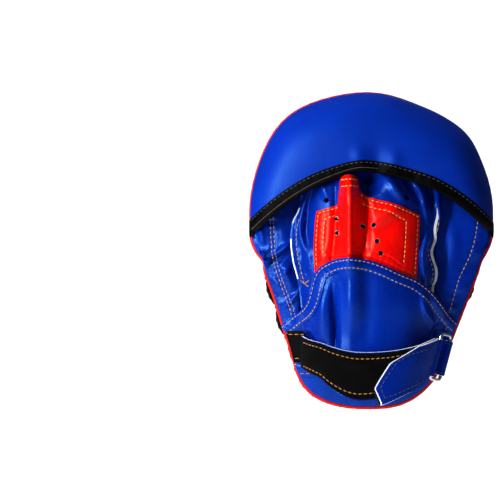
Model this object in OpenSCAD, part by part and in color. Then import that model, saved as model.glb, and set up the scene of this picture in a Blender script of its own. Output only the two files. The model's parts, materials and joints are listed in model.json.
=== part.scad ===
// Focus mitt: a curved, foam-filled striking pad with a hand pocket, a finger hood
// and a hook-and-loop wrist strap that turns back through a steel ring.
//
// Frame: the origin is on the palm face, in the middle of the hand pocket. +Z points to
// the fingertips, +X to the right seen from the hand side, and +Y out of the striking
// face. Heights on the hand side are measured from the palm face, towards -Y.

/* [Pad] */
// Height of the mitt from its wrist edge to its fingertip edge
mitt_h = 272; // [264:1:282]
// Width of the mitt across the knuckles
mitt_w = 206; // [200:1:210]
// Radius of the rounded wrist end
heel_r = 66; // [62:1:68]
// Thickness of the pad at the rim of its striking face
pad_t = 46; // [42:1:52]
// How far the fingertip and wrist ends curve towards the striking side
bend_rise = 10; // [4:1:14]
// Extra thickness of the pad at the middle of the striking face
face_crown = 4; // [2:0.5:6]
// How far the striking face is set in along the lower edge
heel_inset = 10; // [6:1:12]
// Thickness of the synthetic leather with its backing
skin_t = 1.4; // [1.2:0.1:1.6]

/* [Foam] */
// Distance from the palm face to the front of the soft palm foam
palm_foam_y = 14; // [13:0.5:16]
// Distance from the palm face to the back of the hard impact foam
impact_foam_y = 30; // [26:0.5:32]

/* [Hand pocket] */
// Height of the pocket over the palm face
pocket_h = 33; // [30:0.5:34]
// Height of the folded ridge that runs up the pocket
ridge_h = 8; // [0:0.5:9]
// Width of the band sewn along the wrist cover's arched edge
hem_w = 10; // [8:0.5:11]

/* [Finger hood] */
// Height of the hood's mouth over the palm face
hood_h = 32; // [30:0.5:38]
// Height of the middle of the hood's mouth above the origin
mouth_z = 67; // [64:0.5:70]
// Width of the tape that binds the hood's mouth
hood_tape_w = 8; // [6:0.5:9]

/* [Wrist strap] */
// How far the strap's arch stands over the palm side
strap_rise = 39; // [38:0.5:42]
// Diameter of the ring's steel wire
wire_d = 3; // [2.6:0.1:3.4]
// Clear width inside the ring, along the strap
ring_gap = 9.5; // [9:0.5:10]
// Inside length of the ring, across the strap
ring_len = 36; // [35:0.5:38]
// Lean of the ring along the pad's flank, in degrees
ring_lean = 15; // [12:1:16]

/* [Hidden] */

blue = [0.04, 0.20, 0.78];
red = [0.92, 0.05, 0.04];
black = [0.04, 0.04, 0.045];
impact_foam_colour = [0.35, 0.36, 0.38];
core_foam_colour = [0.93, 0.92, 0.88];
palm_foam_colour = [0.90, 0.84, 0.66];
steel = [0.78, 0.78, 0.80];
yellow = [0.96, 0.88, 0.05];

turns = 48;                      // points round the pad's outline
fit_gap = 0.3;                   // left between pieces that lie on each other
tape_t = 1;                      // binding tape

// The outline is two circles on the centre line, joined by straight flanks.
crown_r = mitt_w / 2;
crown_z = mitt_h / 2 - crown_r;
heel_z = heel_r - mitt_h / 2;
flank_nz = -(crown_r - heel_r) / (crown_z - heel_z);
flank_nx = sqrt(1 - flank_nz * flank_nz);
heel_turn = acos(-flank_nz);
heel_arc = heel_r * heel_turn * PI / 180;
pole_z = 10;                     // the outline is drawn by angle about this point

// Edges, as distances in from the outline and out of the palm face
rim_drop = 5;                    // how far the palm face rounds off at its rim
crown_inset = 2;                 // how far the striking face is set in at the top
edge_round = 9;                  // width of the striking face's rounded edge
edge_y = pad_t - 7;
piping_r = 1.7;
piping_y = edge_y - piping_r - fit_gap;
gusset_y0 = rim_drop + 4.6;
gusset_y1 = piping_y - piping_r - fit_gap;
gusset_bulge = 1.5;
welt_r = 1.4;                    // half thickness of the rear binding
welt_y = gusset_y0 - welt_r - fit_gap;
lace_reach = 3.5;                // half thickness of a bight of lacing
lace_half_y = 8;
lace_bights = 12;
lace_span = 312;                 // length of the laced part of the rim

print_r = 40;
print_z = 47;
print_x = -4;

grid = 4;                        // spacing of the lines that hand-side sheets share
pocket_edge_h = 9;
pocket_left = -60;
pocket_right = 48;
pocket_top = 100;
ridge_x = -20;
ridge_w = 7;
patch_left = -48;
patch_right = 40;
patch_top = 40;
tongue_top = 62.5;
cover_end = 68;
cover_low = -86;                 // its free edge under the strap, and beside it
cover_side_low = -64;
cover_h = 37;
cover_under_strap = 5.5;         // how far it lies under the strap's outer face
patch_lift = 2.2;                // of the patch over the sheet it is sewn to
hem_lift = 1.6;
flank_h = 3.4;                   // where the wrist cover lies on the side panels
// Upper edge of the wrist cover, then the strap's middle line: x, z
hem_line = [[-80, -66], [-68, -56], [-56, -44], [-49, -20], [-38, -10], [-24, -6],
    [-8, -7], [6, -11], [24, -19], [38, -25], [49, -33], [58, -43], [68, -56], [80, -66]];
strap_line = [[-66, -81], [-54, -88], [-36, -97], [-12, -104], [12, -102], [34, -95],
    [50, -88], [60, -84]];
strap_widths = [[-66, 28], [-36, 36], [-12, 40], [20, 38], [50, 33], [60, 32]];
// How far the tail's end reaches across the strap: share of the width, x
tail_tip = [[-0.5, 10], [-0.3, 4], [-0.1, 2], [0.2, 7], [0.5, 13]];

mouth_fall = 0.0051;             // curve of the hood's mouth in front view
mouth_half = 99;
hood_turn = 86;                  // the hood's rim reaches this far round the pole

wire_r = wire_d / 2;
wire_corner = 3;                 // bend radius at the ring's corners
turn_gap = 0.05;                 // running clearance between the wire and cloth round it
turn_r = wire_r + 1.7;           // outside of cloth turned round the wire
bar_reach = ring_gap + wire_d;   // between the ring's two long bars
ring_at = [54, -10, -88];        // middle of the bar that the strap turns round
ring_tilt = 45;
keeper_len = 30;
band_mid = -3.5;                 // the strap's highest line
band_half = 56.2;
band_left = -59.5;
band_right = 50.2;
loop_t = 1;
hook_lift = 1.7;                 // over the strap band's outer face
hook_t = 0.8;
tail_lift = 2.8;
tail_right = 49.6;
tail_turn_w = 32;

// ---- Numbers and curves ----

function mix(a, b, t) = a + (b - a) * t;
function clamp(t) = min(1, max(0, t));
function smooth(t) = let (c = clamp(t)) c * c * (3 - 2 * c);
function bell(d, width) = exp(-pow(d / width, 2));
function dome(u, p, q) = pow(max(0, 1 - pow(min(1, abs(u)), p)), q);
function bend(z) = bend_rise * pow(z / (mitt_h / 2), 2);
function backwards(list) = [for (i = [len(list) - 1:-1:0]) list[i]];

// Smooth curve z(x) through a list of [x, z] with rising x
function slope(pts, i) =
    let (a = pts[max(0, i - 1)], b = pts[min(len(pts) - 1, i + 1)])
    (b[1] - a[1]) / (b[0] - a[0]);
function curve(pts, x) =
    let (i = max([for (k = [0:len(pts) - 2]) pts[k][0] <= x ? k : 0]),
        a = pts[i], b = pts[i + 1], w = b[0] - a[0], t = clamp((x - a[0]) / w))
    a[1] * (1 + 2 * t) * (1 - t) * (1 - t) + slope(pts, i) * w * t * (1 - t) * (1 - t)
    + b[1] * t * t * (3 - 2 * t) - slope(pts, i + 1) * w * t * t * (1 - t);

// ---- The pad's outline ----

function circle_hit(d, cz, r) =
    let (b = d[1] * (cz - pole_z)) b + sqrt(b * b - pow(cz - pole_z, 2) + r * r);
function flank_hit(d, grow) =
    (flank_nz * (crown_z - pole_z) + crown_r + grow) / (flank_nx * d[0] + flank_nz * d[1]);
// Distance from the pole to the outline at angle a, with the outline grown by grow
function rim_reach(a, grow = 0) =
    let (d = [abs(cos(a)), sin(a)], top = circle_hit(d, crown_z, crown_r + grow))
    pole_z + top * d[1] >= crown_z + (crown_r + grow) * flank_nz ? top :
    let (side = flank_hit(d, grow))
    pole_z + side * d[1] >= heel_z + (heel_r + grow) * flank_nz ? side :
    circle_hit(d, heel_z, heel_r + grow);
function rim(a, grow = 0) = let (r = rim_reach(a, grow)) [r * cos(a), pole_z + r * sin(a)];
function edge_share(x, z) = norm([x, z - pole_z]) / rim_reach(atan2(z - pole_z, x));
// A point d along the outline from the bottom of the mitt, positive to the right
function low_rim(d, grow) =
    let (turn = min(abs(d), heel_arc) / heel_r * 180 / PI, more = max(0, abs(d) - heel_arc))
    [sign(d) * ((heel_r + grow) * sin(turn) - flank_nz * more),
        heel_z - (heel_r + grow) * cos(turn) + flank_nx * more];
function flank_z(x) = let (over = abs(x) - heel_r * flank_nx)
    over > 0 ? heel_z + heel_r * flank_nz + over * flank_nx / -flank_nz
        : heel_z - sqrt(heel_r * heel_r - x * x);

function flank_x(z) = let (edge_z = heel_z + heel_r * flank_nz)
    z > edge_z ? heel_r * flank_nx + (z - edge_z) * -flank_nz / flank_nx
        : sqrt(heel_r * heel_r - pow(z - heel_z, 2));

function palm_y(x, z) =
    bend(z) + rim_drop * pow(max(0, (edge_share(x, z) - 0.8) / 0.2), 2);
// The point at height h over the palm face
function over(x, z, h) = [x, palm_y(x, z) - h, z];

// ---- Closed solids from grids of points ----

function strip(i, j, n) = [[i, i + n, j + n], [i, j + n, j]];
function middle(ring) = [for (k = [0:2]) let (v = [for (p = ring) p[k]])
    v * [for (p = v) 1] / len(v)];

// Rings that start and end at a point
module closed_loft(rings) {
    n = len(rings[0]);
    m = len(rings);
    points = concat([for (r = rings) each r], [middle(rings[0]), middle(rings[m - 1])]);
    polyhedron(points, concat(
        [for (i = [0:m - 2]) for (j = [0:n - 1])
            each strip(i * n + j, i * n + (j + 1) % n, n)],
        [for (j = [0:n - 1]) [m * n, j, (j + 1) % n]],
        [for (j = [0:n - 1]) [m * n + 1, (m - 1) * n + (j + 1) % n, (m - 1) * n + j]]));
}

// Rings whose last one joins the first, such as a hoop
module hoop(rings) {
    n = len(rings[0]);
    m = len(rings);
    points = [for (r = rings) each r];
    polyhedron(points, [for (i = [0:m - 1]) for (j = [0:n - 1])
        let (k = (j + 1) % n, up = ((i + 1) % m) * n)
        each [[i * n + j, up + j, up + k], [i * n + j, up + k, i * n + k]]]);
}

// The solid between two open grids of the same size
module slab(near, far) {
    rings = [for (i = [0:len(near) - 1]) concat(near[i], backwards(far[i]))];
    n = len(rings[0]);
    m = len(rings);
    end = (m - 1) * n;
    polyhedron([for (r = rings) each r], concat(
        [for (i = [0:m - 2]) for (j = [0:n - 1])
            each strip(i * n + j, i * n + (j + 1) % n, n)],
        [for (j = [0:n / 2 - 2]) let (k = n - 1 - j)
            each [[j, j + 1, k - 1], [j, k - 1, k],
                [end + j, end + k - 1, end + j + 1], [end + j, end + k, end + k - 1]]]));
}

// ---- Pad ----

// How far the striking face is set in, which grows down the flanks
function front_in(a) = mix(crown_inset, heel_inset, smooth((14 - rim(a)[1]) / 40));
function pad_point(a, inset, share, y) =
    let (p = rim(a, -inset), z = pole_z + (p[1] - pole_z) * share)
    [p[0] * share, y + bend(z), z];
// One ring round the pad. follow = 1 keeps it on the edge of the striking face.
function pad_ring(inset, share, y, follow = 0) =
    [for (i = [0:turns - 1]) let (a = i * 360 / turns)
        pad_point(a, inset + follow * front_in(a), share, y)];
function face_y(share) = pad_t + face_crown * (1 - share * share);
function face_rings(drop) = concat(
    [for (s = [0.3, 0.6, 0.85]) pad_ring(edge_round, s, face_y(s) - drop, 1)],
    [for (q = [90:-22.5:0])
        pad_ring(edge_round * (1 - cos(q)) + drop * cos(q), 1,
            mix(edge_y, pad_t - drop, sin(q)), 1)]);
function gusset_ring(y, inside) = let (t = (y - gusset_y0) / (gusset_y1 - gusset_y0))
    pad_ring(inside - gusset_bulge * sin(180 * clamp(t)), 1, y, clamp(t));
// A tube round the rim
module rim_tube(inset, y, r, follow) {
    hoop([for (q = [0:45:315]) pad_ring(inset + r * cos(q), 1, y + r * sin(q), follow)]);
}

module strike_cover() color(blue)
    closed_loft(concat(face_rings(0), backwards(face_rings(skin_t))));

module target_print() {
    function print_ring(r, lift) = [for (q = [0:15:345])
        let (x = print_x + r * cos(q), z = print_z + r * sin(q),
            reach = rim_reach(atan2(z - pole_z, x), -crown_inset - edge_round))
        [x, face_y(norm([x, z - pole_z]) / reach) + bend(z) + lift, z]];
    color(yellow) closed_loft([for (s = [[0.5, 0.9], [1, 0.9], [1, 0.4], [0.5, 0.4]])
        print_ring(print_r * s[0], s[1])]);
}

module edge_piping() color(red) rim_tube(0, piping_y, piping_r, 1);

// Tape over the lower half of the striking face's edge
module edge_binding() {
    function tape_row(lift) = [for (a = [180:7.5:360]) [for (q = [0:20:60])
        pad_point(a, front_in(a) + edge_round * (1 - cos(q)) - lift * cos(q), 1,
            mix(edge_y, pad_t, sin(q)) + lift * sin(q))]];
    color(red) slab(tape_row(fit_gap + tape_t), tape_row(fit_gap));
}

module side_gusset() color(blue) {
    levels = [for (t = [0:0.25:1]) mix(gusset_y0, gusset_y1, t)];
    hoop(concat([for (y = levels) gusset_ring(y, skin_t)],
        [for (y = backwards(levels)) gusset_ring(y, 0)]));
}

// Bights of thick lacing that close the lower half of the gusset
module gusset_lace() {
    pitch = lace_span / lace_bights;
    mid = (gusset_y0 + gusset_y1) / 2;
    function bight(start) = [for (t = [0.04:0.115:0.96])
        let (size = 0.25 + 0.75 * pow(sin(180 * t), 0.6), d = start + pitch * t)
        [for (q = [0:45:315])
            let (p = low_rim(d, lace_reach * size * (1 + cos(q)) - heel_inset / 2
                    + gusset_bulge + 1))
            [p[0], mid + bend(p[1]) + lace_half_y * size * sin(q), p[1]]]];
    color(black) for (i = [0:lace_bights - 1]) closed_loft(bight(pitch * i - lace_span / 2));
}

// A foam layer between two heights that follows the inside of the gusset
module foam_layer(y0, y1) {
    side = skin_t + fit_gap;
    closed_loft([pad_ring(side, 0.5, y1), gusset_ring(y1, side), gusset_ring(y0, side),
        pad_ring(side, 0.5, y0)]);
}

module impact_foam() color(impact_foam_colour)
    closed_loft(concat(face_rings(skin_t + fit_gap),
        [for (s = [1, 0.5]) pad_ring(skin_t + fit_gap + piping_r, s, impact_foam_y + fit_gap, 1)]));

module core_foam() color(core_foam_colour)
    foam_layer(palm_foam_y + fit_gap, impact_foam_y);

module palm_foam() color(palm_foam_colour) {
    side = skin_t + fit_gap;
    shares = [0.4, 0.8, 0.9, 0.97];
    closed_loft(concat(
        [pad_ring(side, 0.5, palm_foam_y), gusset_ring(palm_foam_y, side)],
        [for (s = backwards(shares)) palm_ring(s, -skin_t - fit_gap)]));
}

function palm_ring(share, h) =
    [for (i = [0:turns - 1]) let (p = rim(i * 360 / turns) - [0, pole_z])
        over(p[0] * share, pole_z + p[1] * share, h)];

module back_panel() color(blue) {
    shares = [0.4, 0.8, 0.88, 0.94, 0.985];
    closed_loft(concat([for (s = shares) palm_ring(s, -skin_t)],
        [for (s = backwards(shares)) palm_ring(s, 0)]));
}

module rear_binding() color(red) rim_tube(0.4, welt_y, welt_r, 0);

// ---- Hand side ----

function pocket_rise(x, z) =
    let (u = (x + 6) / 54)
    mix(pocket_edge_h, pocket_h, dome(u, 2.6, 1)) * mix(1, 0.7, smooth((z - 50) / 22))
    + ridge_h * bell(x - ridge_x, ridge_w) * (1 - smooth((z - 58) / 12));
function strap_rise_at(x) = strap_rise * dome((x - band_mid) / band_half, 2.2, 0.6);
function cover_rise(x, z) =
    let (half = mix(62, 76, smooth((-10 - z) / 50)),
        free = flank_h + (cover_h - flank_h) * dome(x / half, 2.6, 1)
            * smooth((72 - abs(x)) / 14)
            + ridge_h * bell(x - ridge_x, 9) * (1 - smooth((-44 - z) / 26)),
        held = min(free, max(flank_h, strap_rise_at(x) - cover_under_strap + bend(z))))
    mix(free, held, smooth((-52 - z) / 12));
function hem_z(x) = curve(hem_line, x);
function cover_foot(x) =
    max(mix(cover_low, cover_side_low, smooth((abs(x) - 42) / 10)), flank_z(x) + 6);
function patch_low(x) = max(hem_z(x) + 2, -24);
function patch_high(x) =
    mix(patch_top - max(0, x - 12) * 0.3 - max(0, -30 - x) * 0.3, tongue_top,
        smooth((11 - abs(x - ridge_x)) / 6));

// A sheet over the palm face, between two heights, from low(x) to high(x)
module sheet(from, to, low, high, rows, rise, lift, thick) {
    xs = [for (x = [from:grid:to]) x];
    function rows_at(h) = [for (x = xs) [for (j = [0:rows])
        let (z = mix(low(x), high(x), j / rows)) over(x, z, rise(x, z) + h)]];
    slab(rows_at(lift), rows_at(lift + thick));
}

module glove_back() color(blue)
    sheet(pocket_left, pocket_right, function(x) hem_z(x) + 0.6, function(x) pocket_top,
        18, function(x, z) pocket_rise(x, z), -skin_t, skin_t);

module knuckle_patch() color(red)
    sheet(patch_left, patch_right, function(x) patch_low(x), function(x) patch_high(x),
        16, function(x, z) pocket_rise(x, z), patch_lift, 1);

module wrist_cover() color(blue)
    sheet(-cover_end, cover_end, function(x) cover_foot(x), function(x) hem_z(x) - 0.6,
        14, function(x, z) cover_rise(x, z), -skin_t, skin_t);

module wrist_cover_hem() color(blue)
    sheet(-cover_end + grid, cover_end - grid,
        function(x) max(cover_foot(x), hem_z(x) - 0.6 - hem_w), function(x) hem_z(x) - 0.6,
        4, function(x, z) cover_rise(x, z), hem_lift, 1);

// Reinforcing panels on the palm face, beside the pocket
module side_panel_left() color(blue)
    sheet(-84, -64, function(x) flank_z(x) + 5, function(x) 34 - (x + 84) * 0.2, 10,
        function(x, z) 0, fit_gap, skin_t);

module side_panel_right() color(blue)
    sheet(56, 84, function(x) max(-66, flank_z(x) + 5), function(x) 26 - (84 - x) * 0.6, 10,
        function(x, z) 0, fit_gap, skin_t);

// The hood: u runs along its mouth from -1 to 1, v from the mouth to the pad's rim.
function mouth_at(u) = [mouth_half * u, mouth_z - mouth_fall * pow(mouth_half * u, 2)];
function hood_plan(u, v, inside) =
    mix(mouth_at(u), rim(90 - hood_turn * u, -2 - inside), v);
// A point on the hood's outer face, or inside it where inside is above 0
function hood_point(u, v, inside) =
    let (w = u * (1 - inside / 90), p = hood_plan(w, v, inside))
    over(p[0], p[1], fit_gap + skin_t - inside
        + (hood_h - skin_t - fit_gap) * dome(u, 2.4, 0.7) * dome(v, 2.2, 0.65));

module finger_hood() {
    function hood_grid(inside) = [for (a = [-78:6:78]) [for (q = [0:10:90])
        hood_point(sin(a), sin(q), inside)]];
    color(blue) slab(hood_grid(skin_t), hood_grid(0));
}

module hood_binding() {
    function tape_grid(lift) = [for (a = [-65:5:65])
        let (u = sin(a), reach = norm(rim(90 - hood_turn * u, -2) - mouth_at(u)))
        [for (v = [0:0.5:1]) hood_point(u, v * min(0.5, hood_tape_w / reach), 0)
            - [0, lift, 0]]];
    color(black) slab(tape_grid(0.5), tape_grid(0.5 + tape_t));
}

// ---- Wrist strap ----

// The strap's arch seen from its edge, and the direction that points out of it
function band_path(x) = [x, -strap_rise_at(x)];
function band_out(x) = let (d = band_path(x + 0.2) - band_path(x - 0.2)) [d[1], -d[0]] / norm(d);
// s runs across the strap from -0.5 at its lower edge to 0.5. The strap leans into the ring.
function band_point(x, s, lift) =
    let (p = band_path(x) + band_out(x) * lift, w = curve(strap_widths, x),
        lean = ring_lean * smooth((x + 14) / 50))
    [p[0] + s * w * sin(lean), p[1], curve(strap_line, x) + s * w * cos(lean)];
function cos_steps(count) = [for (i = [0:count]) 0.5 - 0.5 * cos(180 * i / count)];
module band(from, to, half, lift, thick) {
    function lines(h) = [for (t = cos_steps(26)) [for (s = [-half:half / 2:half])
        band_point(mix(from, to, t), s, h)]];
    slab(lines(lift), lines(lift + thick));
}
// A sheet over the strap that ends in the tail's slanted tip
module tail_sheet(margin, to, lift, thick) {
    function lines(h) = [for (s = [-0.5 + margin:(1 - 2 * margin) / 8:0.5001 - margin])
        [for (t = [0:1 / 14:1.001])
            band_point(mix(curve(tail_tip, s) + 40 * margin, to, t), s, h)]];
    slab(lines(lift + thick), lines(lift));
}

module strap_band() color(blue) band(band_left, band_right, 0.5, -skin_t, skin_t);
module strap_loop_face() color(black)
    band(band_left + 1, band_right - 1, 0.49, fit_gap, loop_t);

// A flat piece on the palm face, from the left flank's edge inwards
module flank_piece(low, high, margin, right, h, thick) {
    function rows(lift) = [for (z = [low:(high - low) / 6:high + 0.01])
        [for (t = [0:0.25:1]) over(mix(margin - flank_x(z), right, t), z, lift)]];
    slab(rows(h + thick), rows(h));
}
module strap_anchor() color(black) flank_piece(-93, -67, 3, -56, flank_h - 1, 2);
module anchor_tab() color(blue) flank_piece(-106, -96, 3, -46, fit_gap, 2);

// The ring and what turns on it are drawn with the strap's bar along Z, at the origin.
module at_ring() translate(ring_at) rotate([0, ring_lean, 0]) children();
module wire_bend() rotate_extrude(angle = 90, $fn = 48) translate([wire_corner, 0])
    circle(wire_r, $fn = 48);

module strap_ring() {
    end_z = (ring_len + wire_d) / 2;
    color(steel) at_ring() rotate([0, 0, ring_tilt]) {
        for (x = [0, bar_reach]) translate([x, 0, 0])
            cylinder(h = 2 * (end_z - wire_corner), r = wire_r, center = true, $fn = 48);
        for (z = [-end_z, end_z]) translate([bar_reach / 2, 0, z]) rotate([0, 90, 0])
            cylinder(h = bar_reach - 2 * wire_corner, r = wire_r, center = true, $fn = 48);
        for (k = [0:3])
            translate([k == 0 || k == 3 ? bar_reach - wire_corner : wire_corner, 0,
                    (k < 2 ? 1 : -1) * (end_z - wire_corner)])
                rotate([90, 0, 0]) rotate([0, 0, 90 * k]) wire_bend();
    }
}

// Cloth turned round the wire
module cloth_turn(width) linear_extrude(width, center = true) difference() {
    union() {
        circle(turn_r, $fn = 48);
        children();
    }
    circle(wire_r + turn_gap, $fn = 48);
}

// Its two layers run from the ring's outer bar to the pad's rim.
module ring_keeper() color(blue) at_ring()
    translate([bar_reach * cos(ring_tilt), bar_reach * sin(ring_tilt), 0])
        cloth_turn(keeper_len) polygon([[turn_r - 0.6, 0], [turn_r - 1.6, 5], [-4, 5.6],
            [-4.6, 3.4], [-turn_r + 0.8, 0]]);

module strap_tail() color(blue) {
    at_ring() cloth_turn(tail_turn_w);
    tail_sheet(0, tail_right, tail_lift, skin_t);
}

module tail_hook_patch() color(black) tail_sheet(0.04, 26, hook_lift, hook_t);

strike_cover();
target_print();
edge_piping();
edge_binding();
side_gusset();
gusset_lace();
impact_foam();
core_foam();
palm_foam();
back_panel();
rear_binding();
finger_hood();
hood_binding();
glove_back();
knuckle_patch();
wrist_cover();
wrist_cover_hem();
side_panel_left();
side_panel_right();
strap_anchor();
anchor_tab();
strap_band();
strap_loop_face();
ring_keeper();
strap_ring();
strap_tail();
tail_hook_patch();
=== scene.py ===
"""Focus mitt, seen from its hand side: shapes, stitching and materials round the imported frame.

Shapes are worked out in millimetres, in the frame's own axes: +X right, +Z to the
fingertips, +Y out of the striking face. build() turns them into metres.
"""
import json
import math

import bpy
import numpy as np
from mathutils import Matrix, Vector


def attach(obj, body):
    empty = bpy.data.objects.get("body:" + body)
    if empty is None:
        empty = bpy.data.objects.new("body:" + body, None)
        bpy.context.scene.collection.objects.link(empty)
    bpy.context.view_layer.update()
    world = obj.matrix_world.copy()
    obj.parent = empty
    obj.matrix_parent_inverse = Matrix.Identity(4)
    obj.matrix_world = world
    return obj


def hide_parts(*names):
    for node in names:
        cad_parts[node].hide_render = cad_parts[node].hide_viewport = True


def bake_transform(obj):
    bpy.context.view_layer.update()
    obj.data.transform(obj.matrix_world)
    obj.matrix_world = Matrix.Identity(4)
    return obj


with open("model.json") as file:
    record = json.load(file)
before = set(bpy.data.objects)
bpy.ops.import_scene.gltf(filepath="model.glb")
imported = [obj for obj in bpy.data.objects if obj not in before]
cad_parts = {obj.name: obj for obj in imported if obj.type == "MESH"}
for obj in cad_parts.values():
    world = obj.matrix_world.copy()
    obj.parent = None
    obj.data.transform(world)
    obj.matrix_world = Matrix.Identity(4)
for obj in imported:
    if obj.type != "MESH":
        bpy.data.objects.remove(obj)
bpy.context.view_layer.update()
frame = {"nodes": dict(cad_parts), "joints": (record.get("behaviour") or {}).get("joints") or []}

MM = 0.001


# ---- Driving dimensions, in millimetres ----

MITT_H = 272
MITT_W = 206
HEEL_R = 66
PAD_T = 46
BEND_RISE = 10
FACE_CROWN = 4
HEEL_INSET = 10
CROWN_INSET = 2
RIM_DROP = 5
SKIN = 1.4

HOOD_H = 32
MOUTH_Z = 67
MOUTH_FALL = 0.0051
MOUTH_HALF = 99
HOOD_TURN = 86
HOOD_SPAN = 90

STRAP_RISE = 39
BAND_MID = -3.5
BAND_HALF = 56.2
RING_LEAN = 15
RING_TILT = 45
BAR_REACH = 12.5

CROWN_R = MITT_W / 2
CROWN_Z = MITT_H / 2 - CROWN_R
HEEL_Z = HEEL_R - MITT_H / 2
FLANK_NZ = -(CROWN_R - HEEL_R) / (CROWN_Z - HEEL_Z)
FLANK_NX = math.sqrt(1 - FLANK_NZ**2)
HEEL_TURN = math.acos(-FLANK_NZ)
POLE_Z = 10

joints = {j["name"]: j for j in frame["joints"]}
RING_AT = np.array(joints["tail_peel"]["pos_m"]) / MM

HEM = [(-80, -66), (-68, -56), (-56, -44), (-49, -20), (-38, -10), (-24, -6), (-8, -7),
       (6, -11), (24, -19), (38, -25), (49, -33), (58, -43), (68, -56), (80, -66)]
STRAP_LINE = [(-66, -80.5), (-56, -87), (-43, -92), (-36, -96.5), (-24, -102), (-12, -104.4),
              (12, -102.4), (34, -96), (50, -89), (60, -85)]
STRAP_WIDTH = [(-66, 27), (-56, 27.5), (-43, 30.5), (-36, 34.5), (-24, 39), (-12, 40.5),
               (20, 38), (50, 33), (60, 32)]
# The tail's end: share of the strap's width, and x
TAIL_TIP = [(-0.62, 9.5), (-0.27, 2.2), (0.24, 13), (0.5, 33)]


# ---- Curves ----

def mix(a, b, t):
    return a + (b - a) * t


def smooth(t):
    t = np.clip(t, 0, 1)
    return t * t * (3 - 2 * t)


def dome(u, p, q):
    """1 in the middle, falling to 0 where u is -1 or 1."""
    return np.maximum(0, 1 - np.minimum(1, np.abs(u)) ** p) ** q


def bell(d, width, power=2):
    """1 where d is 0, falling away over about width."""
    return np.exp(-np.abs(d / width) ** power)


def curve(points, x):
    """A smooth curve through (x, value) points with rising x."""
    px, pv = np.array(points, float).T
    x = np.clip(x, px[0], px[-1])
    i = np.clip(np.searchsorted(px, x, side="right") - 1, 0, len(px) - 2)
    slopes = np.empty(len(px))
    slopes[1:-1] = (pv[2:] - pv[:-2]) / (px[2:] - px[:-2])
    slopes[0] = (pv[1] - pv[0]) / (px[1] - px[0])
    slopes[-1] = (pv[-1] - pv[-2]) / (px[-1] - px[-2])
    w = px[i + 1] - px[i]
    t = (x - px[i]) / w
    return (pv[i] * (1 + 2 * t) * (1 - t) ** 2 + slopes[i] * w * t * (1 - t) ** 2
            + pv[i + 1] * t * t * (3 - 2 * t) - slopes[i + 1] * w * t * t * (1 - t))


def spline(points, step=1.0):
    """Points about step apart on a Catmull-Rom curve through the given points."""
    p = np.array(points, float)
    p = np.vstack([2 * p[0] - p[1], p, 2 * p[-1] - p[-2]])
    t = np.linspace(0, 1, 24, endpoint=False)[:, None]
    out = []
    for a, b, c, d in zip(p[:-3], p[1:-2], p[2:-1], p[3:]):
        out.append(0.5 * (2 * b + (c - a) * t + (2 * a - 5 * b + 4 * c - d) * t**2
                          + (3 * b - a - 3 * c + d) * t**3))
    fine = np.vstack(out + [p[-2:-1]])
    return evenly(fine, step)


def evenly(line, step):
    """The same line with points evenly spaced, about step apart."""
    line = np.asarray(line, float)
    along = np.concatenate([[0], np.cumsum(np.linalg.norm(np.diff(line, axis=0), axis=1))])
    at = np.linspace(0, along[-1], max(2, int(round(along[-1] / step)) + 1))
    return np.stack([np.interp(at, along, line[:, k]) for k in range(line.shape[1])], axis=1)


def waves(a, b, seed, count=5, low=0.02, high=0.09):
    """Soft unevenness, from -1 to 1, as a sum of seeded plane waves over two coordinates."""
    rng = np.random.default_rng(seed)
    total = 0
    for _ in range(count):
        turn, phase = rng.uniform(0, 2 * math.pi, 2)
        pitch = rng.uniform(low, high) * 2 * math.pi
        total = total + np.sin((a * math.cos(turn) + b * math.sin(turn)) * pitch + phase)
    return total / count


# ---- The pad's outline and palm face ----

# Where the sewn outline strays out of its plain arcs: angle in degrees, size, width in degrees
SWELLS = [(0, 1.8, 6), (180, 1.8, 6), (-11.5, -0.9, 3.5), (191.5, -2.4, 3.5), (270, -2.5, 9),
          (246, 7, 11), (228, 2.4, 13), (125, 5.5, 17), (72, -2.7, 13), (47, 2.0, 9)]


def swell(a):
    """What SWELLS adds to the outline at angle a."""
    return sum(size * bell((np.degrees(a) - at + 180) % 360 - 180, width)
               for at, size, width in SWELLS)


def rim_reach(a, grow=0.0):
    """Distance from the pole to the outline at angle a, in radians."""
    dx, dz = np.abs(np.cos(a)), np.sin(a)

    def circle(cz, r):
        b = dz * (cz - POLE_Z)
        return b + np.sqrt(np.maximum(0, b * b - (cz - POLE_Z) ** 2 + r * r))

    top = circle(CROWN_Z, CROWN_R + grow)
    side = ((FLANK_NZ * (CROWN_Z - POLE_Z) + CROWN_R + grow)
            / np.maximum(1e-6, FLANK_NX * dx + FLANK_NZ * dz))
    heel = circle(HEEL_Z, HEEL_R + grow)
    on_top = POLE_Z + top * dz >= CROWN_Z + (CROWN_R + grow) * FLANK_NZ
    on_side = POLE_Z + side * dz >= HEEL_Z + (HEEL_R + grow) * FLANK_NZ
    return np.where(on_top, top, np.where(on_side, side, heel)) + swell(a)


def rim(a, grow=0.0):
    """The plan point of the outline at angle a, moved out by grow."""
    r = rim_reach(a, grow)
    return r * np.cos(a), POLE_Z + r * np.sin(a)


def shrunk(x, z, share):
    """Plan points taken towards the pole, to a share of their distance from it."""
    return x * share, POLE_Z + (z - POLE_Z) * share


def low_rim(d, grow):
    """A point d along the outline from the bottom of the mitt, positive to the right."""
    turn = np.minimum(np.abs(d), HEEL_R * HEEL_TURN) / HEEL_R
    more = np.maximum(0, np.abs(d) - HEEL_R * HEEL_TURN)
    x = np.sign(d) * ((HEEL_R + grow) * np.sin(turn) - FLANK_NZ * more)
    z = HEEL_Z - (HEEL_R + grow) * np.cos(turn) + FLANK_NX * more
    a = np.arctan2(z - POLE_Z, x)
    return x + swell(a) * np.cos(a), z + swell(a) * np.sin(a)


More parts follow.
